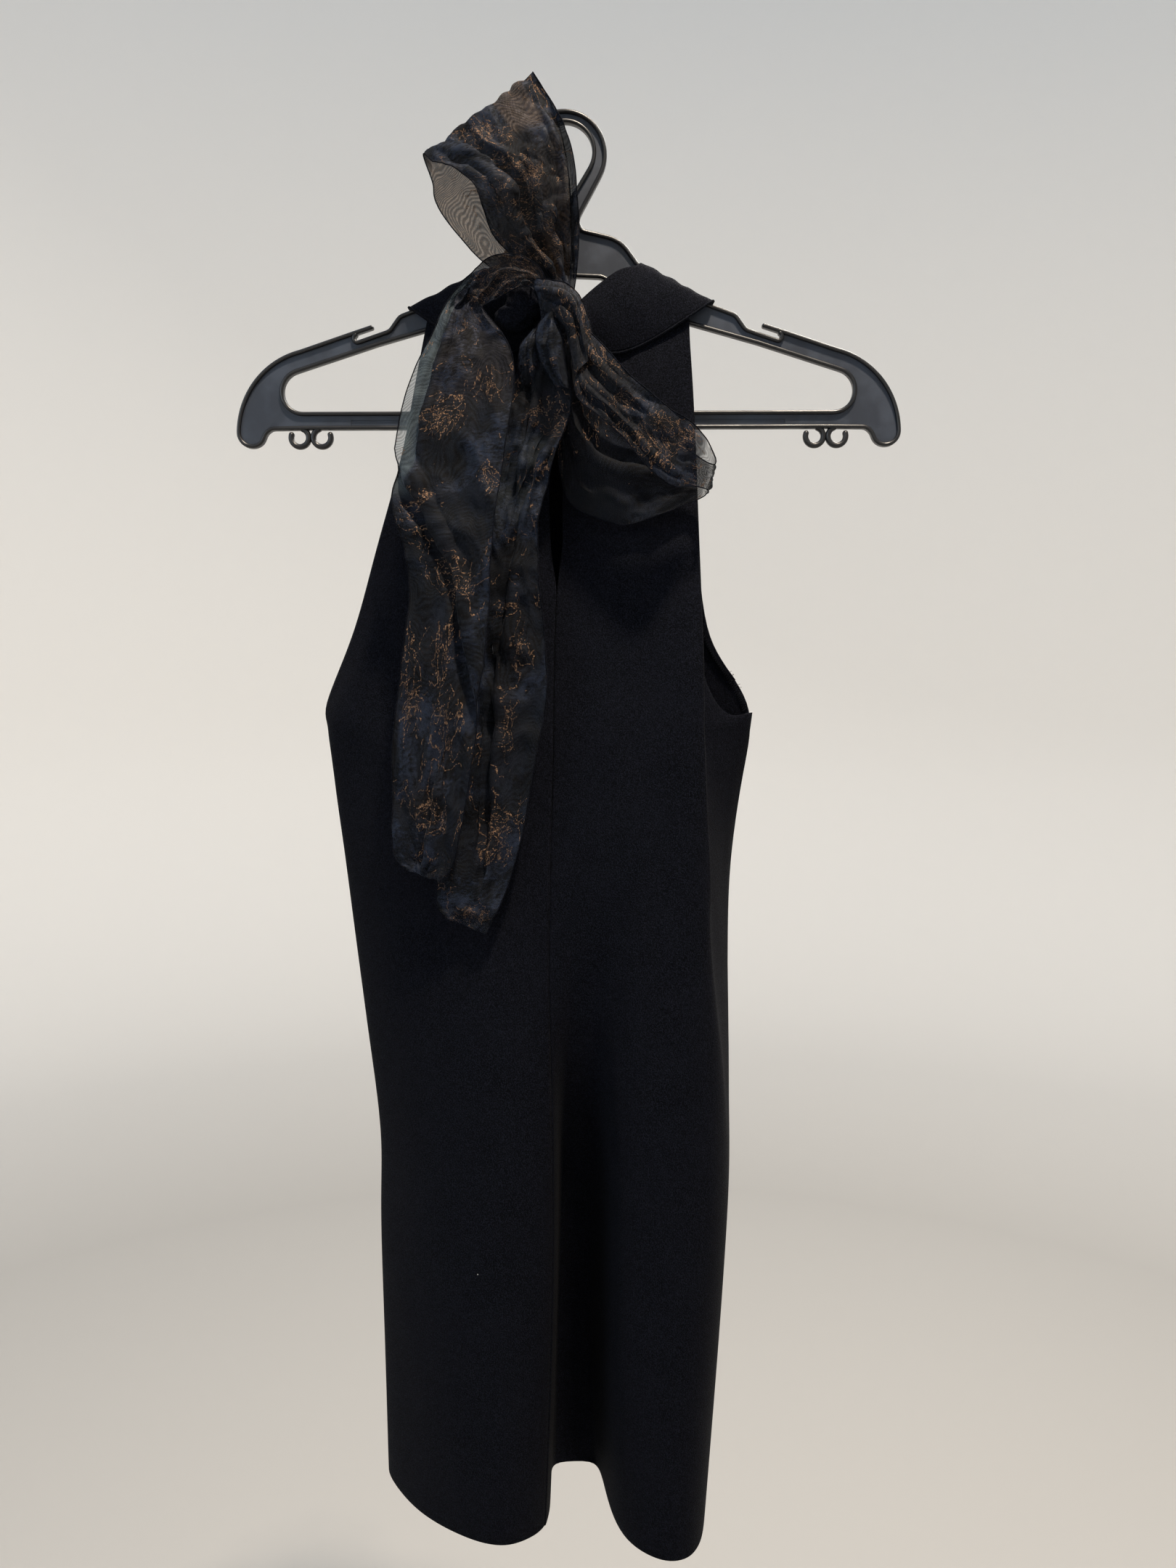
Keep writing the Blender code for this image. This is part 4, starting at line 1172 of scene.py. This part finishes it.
# %% Folding and crinkling
Fold = namedtuple("Fold", "top foot start end width overlap lift")
GATHER_EASE = 0.09          # the share of a stretch beside a knot where its folds die out
FOLD_ENDS = 0.15            # the share of a fold over which it begins, and ends
FOLD_CREST = 2.6            # makes the top of a fold as high as its lift
CRINKLE_CREST = 0.45        # how high, in depths, the sharp crests of the crinkles stand
CRINKLE_FALL = 2.2          # how steeply they fall away


def ends_ease(surface, is_loop):
    """1 along a stretch, led to 0 at its start and, for a loop, at its end."""
    v, _ = shares_of(surface)
    ease = smooth_step(v / GATHER_EASE)
    if is_loop:
        ease *= smooth_step((1 - v) / GATHER_EASE)
    return ease


def fold_cloth(surface, folds, ease):
    """Fold a surface: the cloth doubles back sideways while it climbs over itself."""
    v, u = shares_of(surface)
    moved, lift = u.copy(), np.zeros_like(u)
    for fold in folds:
        t = (v - fold.top) / (fold.foot - fold.top)
        centre = fold.start + (fold.end - fold.start) * np.clip(t, 0, 1)
        there = smooth_step(t / FOLD_ENDS) * smooth_step((1 - t) / FOLD_ENDS)
        x = np.clip((u - centre) / fold.width, -1, 1)
        moved -= there * fold.overlap * fold.width * np.sin(pi * x) / pi * (1 - x * x) ** 2
        lift += there * fold.lift * MM * x * (1 - x * x) * FOLD_CREST
    moved = np.clip(u + (moved - u) * ease, 0, 1)
    raised = read_across(facing(surface), moved) * (lift * ease)[..., None]
    return read_across(surface, moved) + raised


def crinkle(surface, width, length, depths, seed, ease):
    """Press crisp irregular crinkles of several sizes into a surface."""
    normals = facing(surface)
    v, u = shares_of(surface)
    height = np.zeros_like(u)
    for size, depth in depths:
        for r, c in np.ndindex(u.shape):
            place = Vector((u[r, c] * width / size, v[r, c] * length / size, seed + size))
            height[r, c] += (CRINKLE_CREST - CRINKLE_FALL * abs(noise.noise(place))) * depth
    return surface + normals * (height * ease * MM)[..., None]


print("folding helpers ready")

# %% Painting plies, edges and copper on a sheet
Layer = namedtuple("Layer", "u1 u2 v1 v2 value")    # from u1 to u2 across and v1 to v2 down
Patch = namedtuple("Patch", "x z wide tall")        # a place and its reach, in millimetres
EDGE_ROLL = 0.35            # the radius of the cord in an edge of the tie


def box_weight(value, low, high, soft=0.04):
    """1 from low to high and 0 beyond, with soft borders."""
    return smooth_step((value - low) / soft + 0.5) * smooth_step((high - value) / soft + 0.5)


def paint_layers(surface, ground, layers):
    """One number all over, and others in the boxes that the layers name."""
    v, u = shares_of(surface)
    painted = np.full_like(u, ground)
    for layer in layers:
        inside = box_weight(u, layer.u1, layer.u2) * box_weight(v, layer.v1, layer.v2)
        painted += (layer.value - painted) * inside
    return painted


def paint_patches(surface, patches, front):
    """Soft round patches on the rows that face the front, which are the first share of them."""
    v, u = shares_of(surface)
    painted = np.zeros_like(u)
    for patch in patches:
        centre = np.array(spot(patch.x, 0, patch.z))
        aside = (surface[..., 0] - centre[0]) / (patch.wide * MM)
        above = (surface[..., 2] - centre[2]) / (patch.tall * MM)
        painted = np.maximum(painted, np.exp(-(aside ** 2 + above ** 2)))
    return painted * (v < front)


def lay_sheet(name, surface, width, length, painted):
    """A grid of organza laid on a surface, with a map of the flat cut in metres."""
    rows, columns = surface.shape[:2]
    bm = bmesh.new()
    cut = bm.loops.layers.uv.new("cut")
    bmesh.ops.create_grid(bm, x_segments=columns - 1, y_segments=rows - 1, size=1.0, calc_uvs=True)
    layers = {key: bm.verts.layers.float.new(key) for key in painted}
    edged = bm.verts.layers.float.new("edge")
    for vertex in bm.verts:
        column = round((vertex.co.x + 1) / 2 * (columns - 1))
        row = round((vertex.co.y + 1) / 2 * (rows - 1))
        vertex.co = surface[row, column]
        for key, layer in layers.items():
            vertex[layer] = painted[key][row, column]
        aside = min(column, columns - 1 - column) / (columns - 1) * width
        vertex[edged] = max(0.0, 1.0 - aside / EDGE_WIDTH)
    for face in bm.faces:
        for loop in face.loops:
            loop[cut].uv = (loop[cut].uv.x * width, loop[cut].uv.y * length)
    piece = from_bmesh(name, bm, organza)
    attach(piece, "root")
    return piece


def roll_edges(name, surface):
    """A thin cord along both edges of a sheet, where the tube is pressed to a fold."""
    return [thread(f"{name}_edge_{side}", surface[::2, column], EDGE_ROLL, crepe)
            for side, column in ((1, 0), (2, -1))]


print("painting helpers ready")

# %% The knot's seats
KNOT_CENTRE = (-3.0, -33.0, -124.0)
KNOT_RADII = (12.0, 9.5, 13.0)
KNOT_CLEARANCE = 0.95       # from the knot's surface to a gathered end


def knot_seat(first_angle, second_angle, y):
    """A gathered row round the knot, from one angle to another, seen from the front."""
    seat = []
    radii = [r + KNOT_CLEARANCE for r in KNOT_RADII]
    shrink = (1.0 - ((y - KNOT_CENTRE[1]) / radii[1]) ** 2) ** 0.5
    for i in range(CONTROL_COLUMNS):
        angle = radians(first_angle + (second_angle - first_angle) * i / (CONTROL_COLUMNS - 1))
        seat.append(spot(KNOT_CENTRE[0] + radii[0] * shrink * cos(angle), y,
                         KNOT_CENTRE[2] + radii[2] * shrink * sin(angle)))
    return np.array(seat)


print("knot at", [round(c, 4) for c in spot(*KNOT_CENTRE)])

# %% Rows of the tie
UPPER_LOOP = [
    TieRow((-18, -31, -99), (7, -31, -98)), TieRow((-34, -32, -89), (8, -32, -83)),
    TieRow((-43, -35, -80), (8, -36, -70)), TieRow((-48, -39, -67), (7, -39, -58)),
    TieRow((-53, -41, -54), (6, -41, -45)), TieRow((-64, -41, -45), (3, -42, -31)),
    TieRow((-77, -37, -39), (-5, -39, -12)), TieRow((-84, -31, -33), (-19, -33, 12)),
    TieRow((-80, -23, -46), (-7, -25, -5)), TieRow((-79, -18, -55), (1, -19, -35)),
    TieRow((-64, -17, -76), (3, -17, -65)), TieRow((-48, -19, -92), (3, -19, -88)),
]
RIGHT_LOOP = [
    TieRow((11, -44, -134), (8, -46, -152)), TieRow((21, -50, -146), (7, -52, -177)),
    TieRow((35, -56, -163), (21, -57, -190)), TieRow((48, -58, -175), (35, -60, -203)),
    TieRow((62, -58, -186), (49, -60, -220)), TieRow((75, -55, -193), (63, -57, -230)),
    TieRow((85, -49, -203), (77, -50, -229)), TieRow((91, -41, -215), (86, -41, -231)),
    TieRow((86, -35, -213), (80, -34, -234)), TieRow((71, -34, -204), (55, -33, -244)),
    TieRow((49, -34, -195), (35, -32, -249)), TieRow((27, -32, -185), (17, -30, -244)),
    TieRow((13, -30, -166), (3, -28, -236)), TieRow((8, -29, -147), (-5, -27, -205)),
]
LEFT_TAIL = [
    TieRow((-15, -40, -101), (-21, -38, -111)), TieRow((-30, -39, -93), (-33, -36, -113)),
    TieRow((-45, -36, -94), (-42, -33, -117)), TieRow((-57, -31, -102), (-50, -31, -120)),
    TieRow((-70, -28, -114), (-50, -31, -121)), TieRow((-80, -31, -137), (-40, -36, -134)),
    TieRow((-90, -34, -157), (-31, -43, -152)), TieRow((-99, -38, -187), (-32, -49, -185)),
    TieRow((-103, -40, -216), (-36, -53, -213)), TieRow((-103, -43, -241), (-40, -56, -239)),
    TieRow((-96, -44, -267), (-43, -58, -267)), TieRow((-94, -45, -294), (-45, -59, -297)),
    TieRow((-99, -46, -336), (-48, -60, -338)), TieRow((-105, -46, -385), (-54, -60, -384)),
    TieRow((-106, -46, -420), (-60, -60, -420)), TieRow((-105, -46, -450), (-68, -58, -454)),
    TieRow((-97, -48, -459), (-76, -56, -465)),
]
CENTRE_TAIL = [
    TieRow((-27, -34, -154), (3, -37, -154)), TieRow((-36, -35, -184), (3, -40, -184)),
    TieRow((-43, -36, -212), (-7, -43, -212)), TieRow((-49, -37, -247), (-16, -44, -247)),
    TieRow((-54, -38, -277), (-16, -45, -277)), TieRow((-58, -39, -312), (-13, -46, -312)),
    TieRow((-64, -40, -351), (-11, -47, -351)), TieRow((-70, -42, -390), (-18, -48, -390)),
    TieRow((-76, -45, -444), (-28, -50, -444)), TieRow((-79, -48, -480), (-40, -52, -480)),
    TieRow((-74, -49, -489), (-49, -52, -498)),
]
print("tie rows:", len(UPPER_LOOP), len(RIGHT_LOOP), len(LEFT_TAIL), len(CENTRE_TAIL))

# %% [markdown]
# ## The four stretches
# A stretch has its rows, the gathered rows at its ends, the steps down and across in each gap, its
# flat width in metres and its folds. Then comes what is painted on it: the plies all over and those
# of some layers, where sheen (above zero) and shade (below zero) are painted on the cloth, where
# warm light is painted as shining through thin cloth, which share of the rows faces the front, and
# the patches of copper and of painted shade on those.

# %% The four stretches
Stretch = namedtuple("Stretch", "node rows start end down across width folds "
                                "plies layers pale warm front patches dark")
CRINKLES = [(34.0, 2.8), (15.0, 1.1), (7.0, 0.28)]      # their size and depth, in millimetres
# Beside the plies, each stretch lists painted sheen (above zero) and painted shade (below zero),
# then warm light painted as shining through thin cloth, and last patches of painted shade.
STRETCHES = [
    Stretch(
        node="scarf_upper_loop", rows=UPPER_LOOP, start=knot_seat(128, 52, -31),
        end=knot_seat(122, 58, -26), down=14, across=9, width=0.115,
        folds=[Fold(0.0, 0.62, 0.50, 0.22, 0.15, 1.9, 3.6),
               Fold(0.0, 0.30, 0.70, 0.72, 0.10, 1.5, 2.2),
               Fold(0.0, 0.58, 0.89, 0.94, 0.06, 1.6, 2.4),
               Fold(0.66, 1.0, 0.78, 0.62, 0.10, 1.5, 2.2)],
        plies=4.4,
        layers=[Layer(0.64, 0.88, 0.53, 0.64, 2.0), Layer(-1, 2, 0.65, 1.2, 2.9),
                Layer(0.86, 0.95, 0.28, 0.40, 1.6)],
        pale=[],
        warm=[Layer(0.64, 0.88, 0.53, 0.64, 0.28), Layer(-1, 2, 0.65, 1.2, 1.0)],
        front=0.62,
        patches=[Patch(-50, -24, 10, 9), Patch(-33, -26, 12, 7), Patch(-20, -48, 10, 20),
                 Patch(-16, -85, 16, 12), Patch(-25, -69, 8, 10), Patch(-37, -56, 7, 12)],
        dark=[Patch(-28, -32, 8, 14), Patch(-24, -62, 9, 12), Patch(-15, -92, 7, 12),
              Patch(-8, -48, 5, 26)]),
    Stretch(
        node="scarf_right_loop", rows=RIGHT_LOOP, start=knot_seat(35, -35, -38),
        end=knot_seat(-12, -62, -27.5), down=11, across=7, width=0.062,
        folds=[Fold(0.0, 0.30, 0.40, 0.30, 0.15, 1.3, 2.0),
               Fold(0.10, 0.44, 0.78, 0.82, 0.10, 1.4, 1.8),
               Fold(0.64, 1.0, 0.34, 0.46, 0.15, 1.5, 2.6),
               Fold(0.80, 1.0, 0.78, 0.7, 0.11, 1.3, 1.8)],
        plies=3.2,
        layers=[Layer(-1, 2, 0.45, 0.60, 0.9), Layer(-1, 2, 0.52, 0.555, 3.4),
                Layer(0.0, 1.0, 0.60, 1.2, 2.4)],
        pale=[Layer(-1, 2, 0.56, 1.2, -0.50)],
        warm=[],
        front=0.48,
        patches=[Patch(10, -156, 14, 10), Patch(22, -168, 12, 12), Patch(34, -181, 12, 9),
                 Patch(52, -202, 20, 13), Patch(69, -205, 12, 10), Patch(31, -203, 16, 8),
                 Patch(8, -178, 8, 10)],
        dark=[Patch(18, -194, 12, 7), Patch(30, -207, 14, 6), Patch(58, -194, 12, 5),
              Patch(25, -162, 6, 5)]),
    Stretch(
        node="scarf_left_tail", rows=LEFT_TAIL, start=knot_seat(125, 175, -38),
        end=None, down=13, across=8, width=0.075,
        folds=[Fold(0.22, 0.54, 0.24, 0.19, 0.09, 1.5, 2.0),
               Fold(0.50, 0.82, -0.02, 1.02, 0.17, 1.9, 3.4),
               Fold(0.80, 1.0, 0.62, 0.45, 0.12, 1.3, 1.6)],
        plies=3.4,
        layers=[Layer(-1, 0.20, 0.25, 0.56, 1.2), Layer(-1, 2, 0.93, 1.2, 2.0)],
        pale=[Layer(-1, 0.20, 0.25, 0.56, 1.0), Layer(0.3, 2, 0.20, 0.30, -0.4)],
        warm=[Layer(0.25, 2, 0.24, 0.45, 0.03)],
        front=1.0,
        patches=[Patch(-46, -106, 9, 13), Patch(-34, -103, 12, 11), Patch(-18, -102, 12, 8),
                 Patch(-74, -189, 18, 9), Patch(-46, -170, 10, 14), Patch(-44, -227, 9, 9),
                 Patch(-88, -236, 14, 9), Patch(-66, -278, 12, 17), Patch(-84, -415, 14, 20),
                 Patch(-78, -330, 14, 18), Patch(-70, -372, 12, 26), Patch(-92, -360, 8, 18)],
        dark=[Patch(-85, -259, 9, 10), Patch(-74, -281, 10, 14), Patch(-62, -303, 9, 13),
              Patch(-88, -298, 9, 12), Patch(-84, -419, 14, 9), Patch(-66, -354, 9, 12),
              Patch(-66, -215, 9, 12)]),
    Stretch(
        node="scarf_centre_tail", rows=CENTRE_TAIL, start=knot_seat(-130, -62, -34),
        end=None, down=16, across=7, width=0.062,
        folds=[Fold(0.0, 0.34, 0.34, 0.44, 0.14, 1.4, 2.2),
               Fold(0.20, 0.62, 0.84, 0.40, 0.13, 1.7, 2.6),
               Fold(0.55, 0.92, 0.30, 0.70, 0.12, 1.5, 2.2)],
        plies=3.0,
        layers=[Layer(-1, 2, 0.94, 1.2, 1.9)],
        pale=[Layer(0.1, 0.8, 0.22, 0.45, 0.08)],
        warm=[],
        front=1.0,
        patches=[Patch(-12, -182, 14, 12), Patch(-8, -192, 10, 7), Patch(-35, -371, 8, 26),
                 Patch(-26, -327, 8, 20), Patch(-44, -438, 12, 20), Patch(-58, -487, 12, 7)],
        dark=[Patch(-30, -268, 11, 12), Patch(-40, -284, 9, 12), Patch(-50, -424, 15, 9),
              Patch(-18, -325, 6, 13), Patch(-42, -322, 7, 12), Patch(-24, -172, 8, 11)]),
]


def make_stretch(stretch, seed):
    """One stretch of the tie, folded, crinkled and painted."""
    net = net_of(stretch.rows, stretch.start, stretch.end)
    surface = surface_through(net, stretch.down, stretch.across)
    length = length_of(surface)
    ease = ends_ease(surface, is_loop=stretch.end is not None)
    surface = fold_cloth(surface, stretch.folds, ease)
    surface = crinkle(surface, stretch.width / MM, length / MM, CRINKLES, seed, ease)
    # patches of painted shade, taken off the painted sheen
    dark = paint_patches(surface, stretch.dark, stretch.front)
    painted = {"plies": paint_layers(surface, stretch.plies, stretch.layers),
               "pale": paint_layers(surface, 0.0, stretch.pale) - dark,
               "warm": paint_layers(surface, 0.0, stretch.warm),
               "copper": paint_patches(surface, stretch.patches, stretch.front)}
    piece = lay_sheet(stretch.node + "_cloth", surface, stretch.width, length, painted)
    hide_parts(stretch.node)
    area, flat_area = full_area(piece), stretch.width * length
    roll_edges(stretch.node, surface)
    print(piece.name, surface.shape[:2], "length", round(length, 3), "area", round(area, 4),
          "flat", round(flat_area, 4))
    return piece


bow = [make_stretch(stretch, 10.0 * number) for number, stretch in enumerate(STRETCHES)]

# %% [markdown]
# ## The knot
# The knot is the tie wound once round itself. Its heart is a small wrung ball: a round form whose
# surface is grooved along a slant, as twisted cloth is. Over it lie the wraps that are seen: a
# hood from the left over the top to the right loop, a drop-shaped fold below it, and an arch
# beside that. They are short stretches like the others. Left of the knot the collar's own end
# peeps out as two humps of crepe.

# %% The wrung heart and the collar's end
LUMP_PLIES = 6.0            # wrung cloth lets no light through
LUMP_COPPER = 0.25
LUMP_CUT = (0.075, 0.040)   # the flat cloth that one lump shows, in metres
GROOVE_MEAN = 0.6           # taken off the grooves, so that they don't swell the ball
WRINKLE_RATE = 2.3          # wrinkles in one radius
WRINKLE_HEIGHT = 1.4        # beside the grooves' own height
SHRINKAGE = 0.3             # how far, in groove depths, the whole ball is drawn in
Lump = namedtuple("Lump", "name centre radii grooves depth turn material slot")
LUMPS = [
    Lump("knot_heart", KNOT_CENTRE, KNOT_RADII, 7.0, 0.09, 0.9, organza, "organza"),
    Lump("collar_end", (-23, -26, -114.5), (14, 6.5, 12.5), 2.0, 0.13, 0.5, crepe, "crepe"),
    Lump("collar_end_fold", (-31, -25, -125), (12, 5.5, 9), 3.0, 0.12, -0.6, crepe, "crepe"),
]


def make_lump(lump):
    """A ball of cloth: grooved along a slant, crinkled and stretched to its radii."""
    bm = bmesh.new()
    cut = bm.loops.layers.uv.new("cut")
    bmesh.ops.create_uvsphere(bm, u_segments=72, v_segments=40, radius=1.0, calc_uvs=True)
    plies = bm.verts.layers.float.new("plies")
    copper = bm.verts.layers.float.new("copper")
    for vertex in bm.verts:
        turn = np.arctan2(vertex.co.y, vertex.co.x) + lump.turn * 2.0 * vertex.co.z
        groove = abs(sin(lump.grooves * turn / 2.0)) - GROOVE_MEAN
        rough = noise.noise(vertex.co * WRINKLE_RATE) * WRINKLE_HEIGHT
        flat = 1.0 - abs(vertex.co.z) ** 3
        vertex.co *= 1.0 + lump.depth * flat * (groove + rough) - lump.depth * SHRINKAGE
        vertex[plies] = LUMP_PLIES
        vertex[copper] = LUMP_COPPER
    for face in bm.faces:
        for loop in face.loops:
            loop[cut].uv = (loop[cut].uv.x * LUMP_CUT[0], loop[cut].uv.y * LUMP_CUT[1])
    stretch = Matrix.Diagonal((*(r * MM for r in lump.radii), 1.0))
    bmesh.ops.transform(bm, matrix=Matrix.Translation(spot(*lump.centre)) @ stretch, verts=bm.verts)
    piece = from_bmesh(lump.name, bm, lump.material)
    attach(piece, "root")
    return piece


knot_heart, collar_end, collar_end_fold = [make_lump(lump) for lump in LUMPS]
print("knot", [round(1000 * c, 1) for c in knot_heart.dimensions], "mm")

# %% The wraps of the knot
KNOT_HOOD = [
    TieRow((-21, -30, -107), (-15, -30, -122)), TieRow((-17, -39, -107), (-14, -40, -125)),
    TieRow((-8, -44, -109), (-10, -45, -129)), TieRow((2, -46, -112), (-5, -48, -132)),
    TieRow((9, -46, -119), (0, -49, -137)), TieRow((14, -45, -130), (2, -49, -144)),
    TieRow((17, -46, -142), (4, -50, -154)), TieRow((19, -47, -152), (6, -51, -165)),
]
KNOT_DROP = [
    TieRow((-11, -43, -128), (-5, -44, -129)), TieRow((-16, -44, -137), (-3, -46, -136)),
    TieRow((-17, -44, -148), (-1, -47, -147)), TieRow((-13, -43, -158), (0, -46, -158)),
    TieRow((-5, -41, -170), (3, -44, -172)),
]
KNOT_ARCH = [
    TieRow((-20, -34, -136), (-15, -36, -134)), TieRow((-26, -37, -144), (-17, -39, -141)),
    TieRow((-28, -37, -156), (-16, -40, -153)), TieRow((-26, -31, -170), (-15, -33, -168)),
    TieRow((-24, -27, -184), (-13, -28, -184)),
]
Wrap = namedtuple("Wrap", "name rows bulge width folds copper")
WRAPS = [
    Wrap("knot_hood", KNOT_HOOD, 3.0, 0.030, [Fold(0.05, 1.0, 0.45, 0.5, 0.2, 1.5, 1.8)], 0.35),
    Wrap("knot_drop", KNOT_DROP, 4.5, 0.024, [Fold(0.1, 1.0, 0.55, 0.4, 0.22, 1.3, 1.6)], 0.1),
    Wrap("knot_arch", KNOT_ARCH, 3.5, 0.022, [Fold(0.1, 1.0, 0.5, 0.6, 0.2, 1.2, 1.2)], 0.2),
]
WRAP_CRINKLES = [(16.0, 1.2), (7.0, 0.35)]
WRAP_STEPS = (10, 4)        # down and across each gap
WRAP_PLIES = 4.0


def make_wrap(wrap, seed):
    """One wrap of the knot, folded and crinkled, with the same plies and copper all over."""
    surface = surface_through(net_of(wrap.rows, bulge=wrap.bulge), *WRAP_STEPS)
    length = length_of(surface)
    ease = np.ones(surface.shape[:2])
    surface = fold_cloth(surface, wrap.folds, ease)
    surface = crinkle(surface, wrap.width / MM, length / MM, WRAP_CRINKLES, seed, ease)
    painted = {"plies": WRAP_PLIES * ease, "copper": wrap.copper * ease}
    piece = lay_sheet(wrap.name, surface, wrap.width, length, painted)
    area, flat_area = full_area(piece), wrap.width * length
    roll_edges(wrap.name, surface)
    print(wrap.name, "length", round(length, 3), "area", round(area, 5),
          "flat", round(flat_area, 5))
    return piece


wraps = [make_wrap(wrap, 50.0 + number) for number, wrap in enumerate(WRAPS)]
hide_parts("scarf_knot")
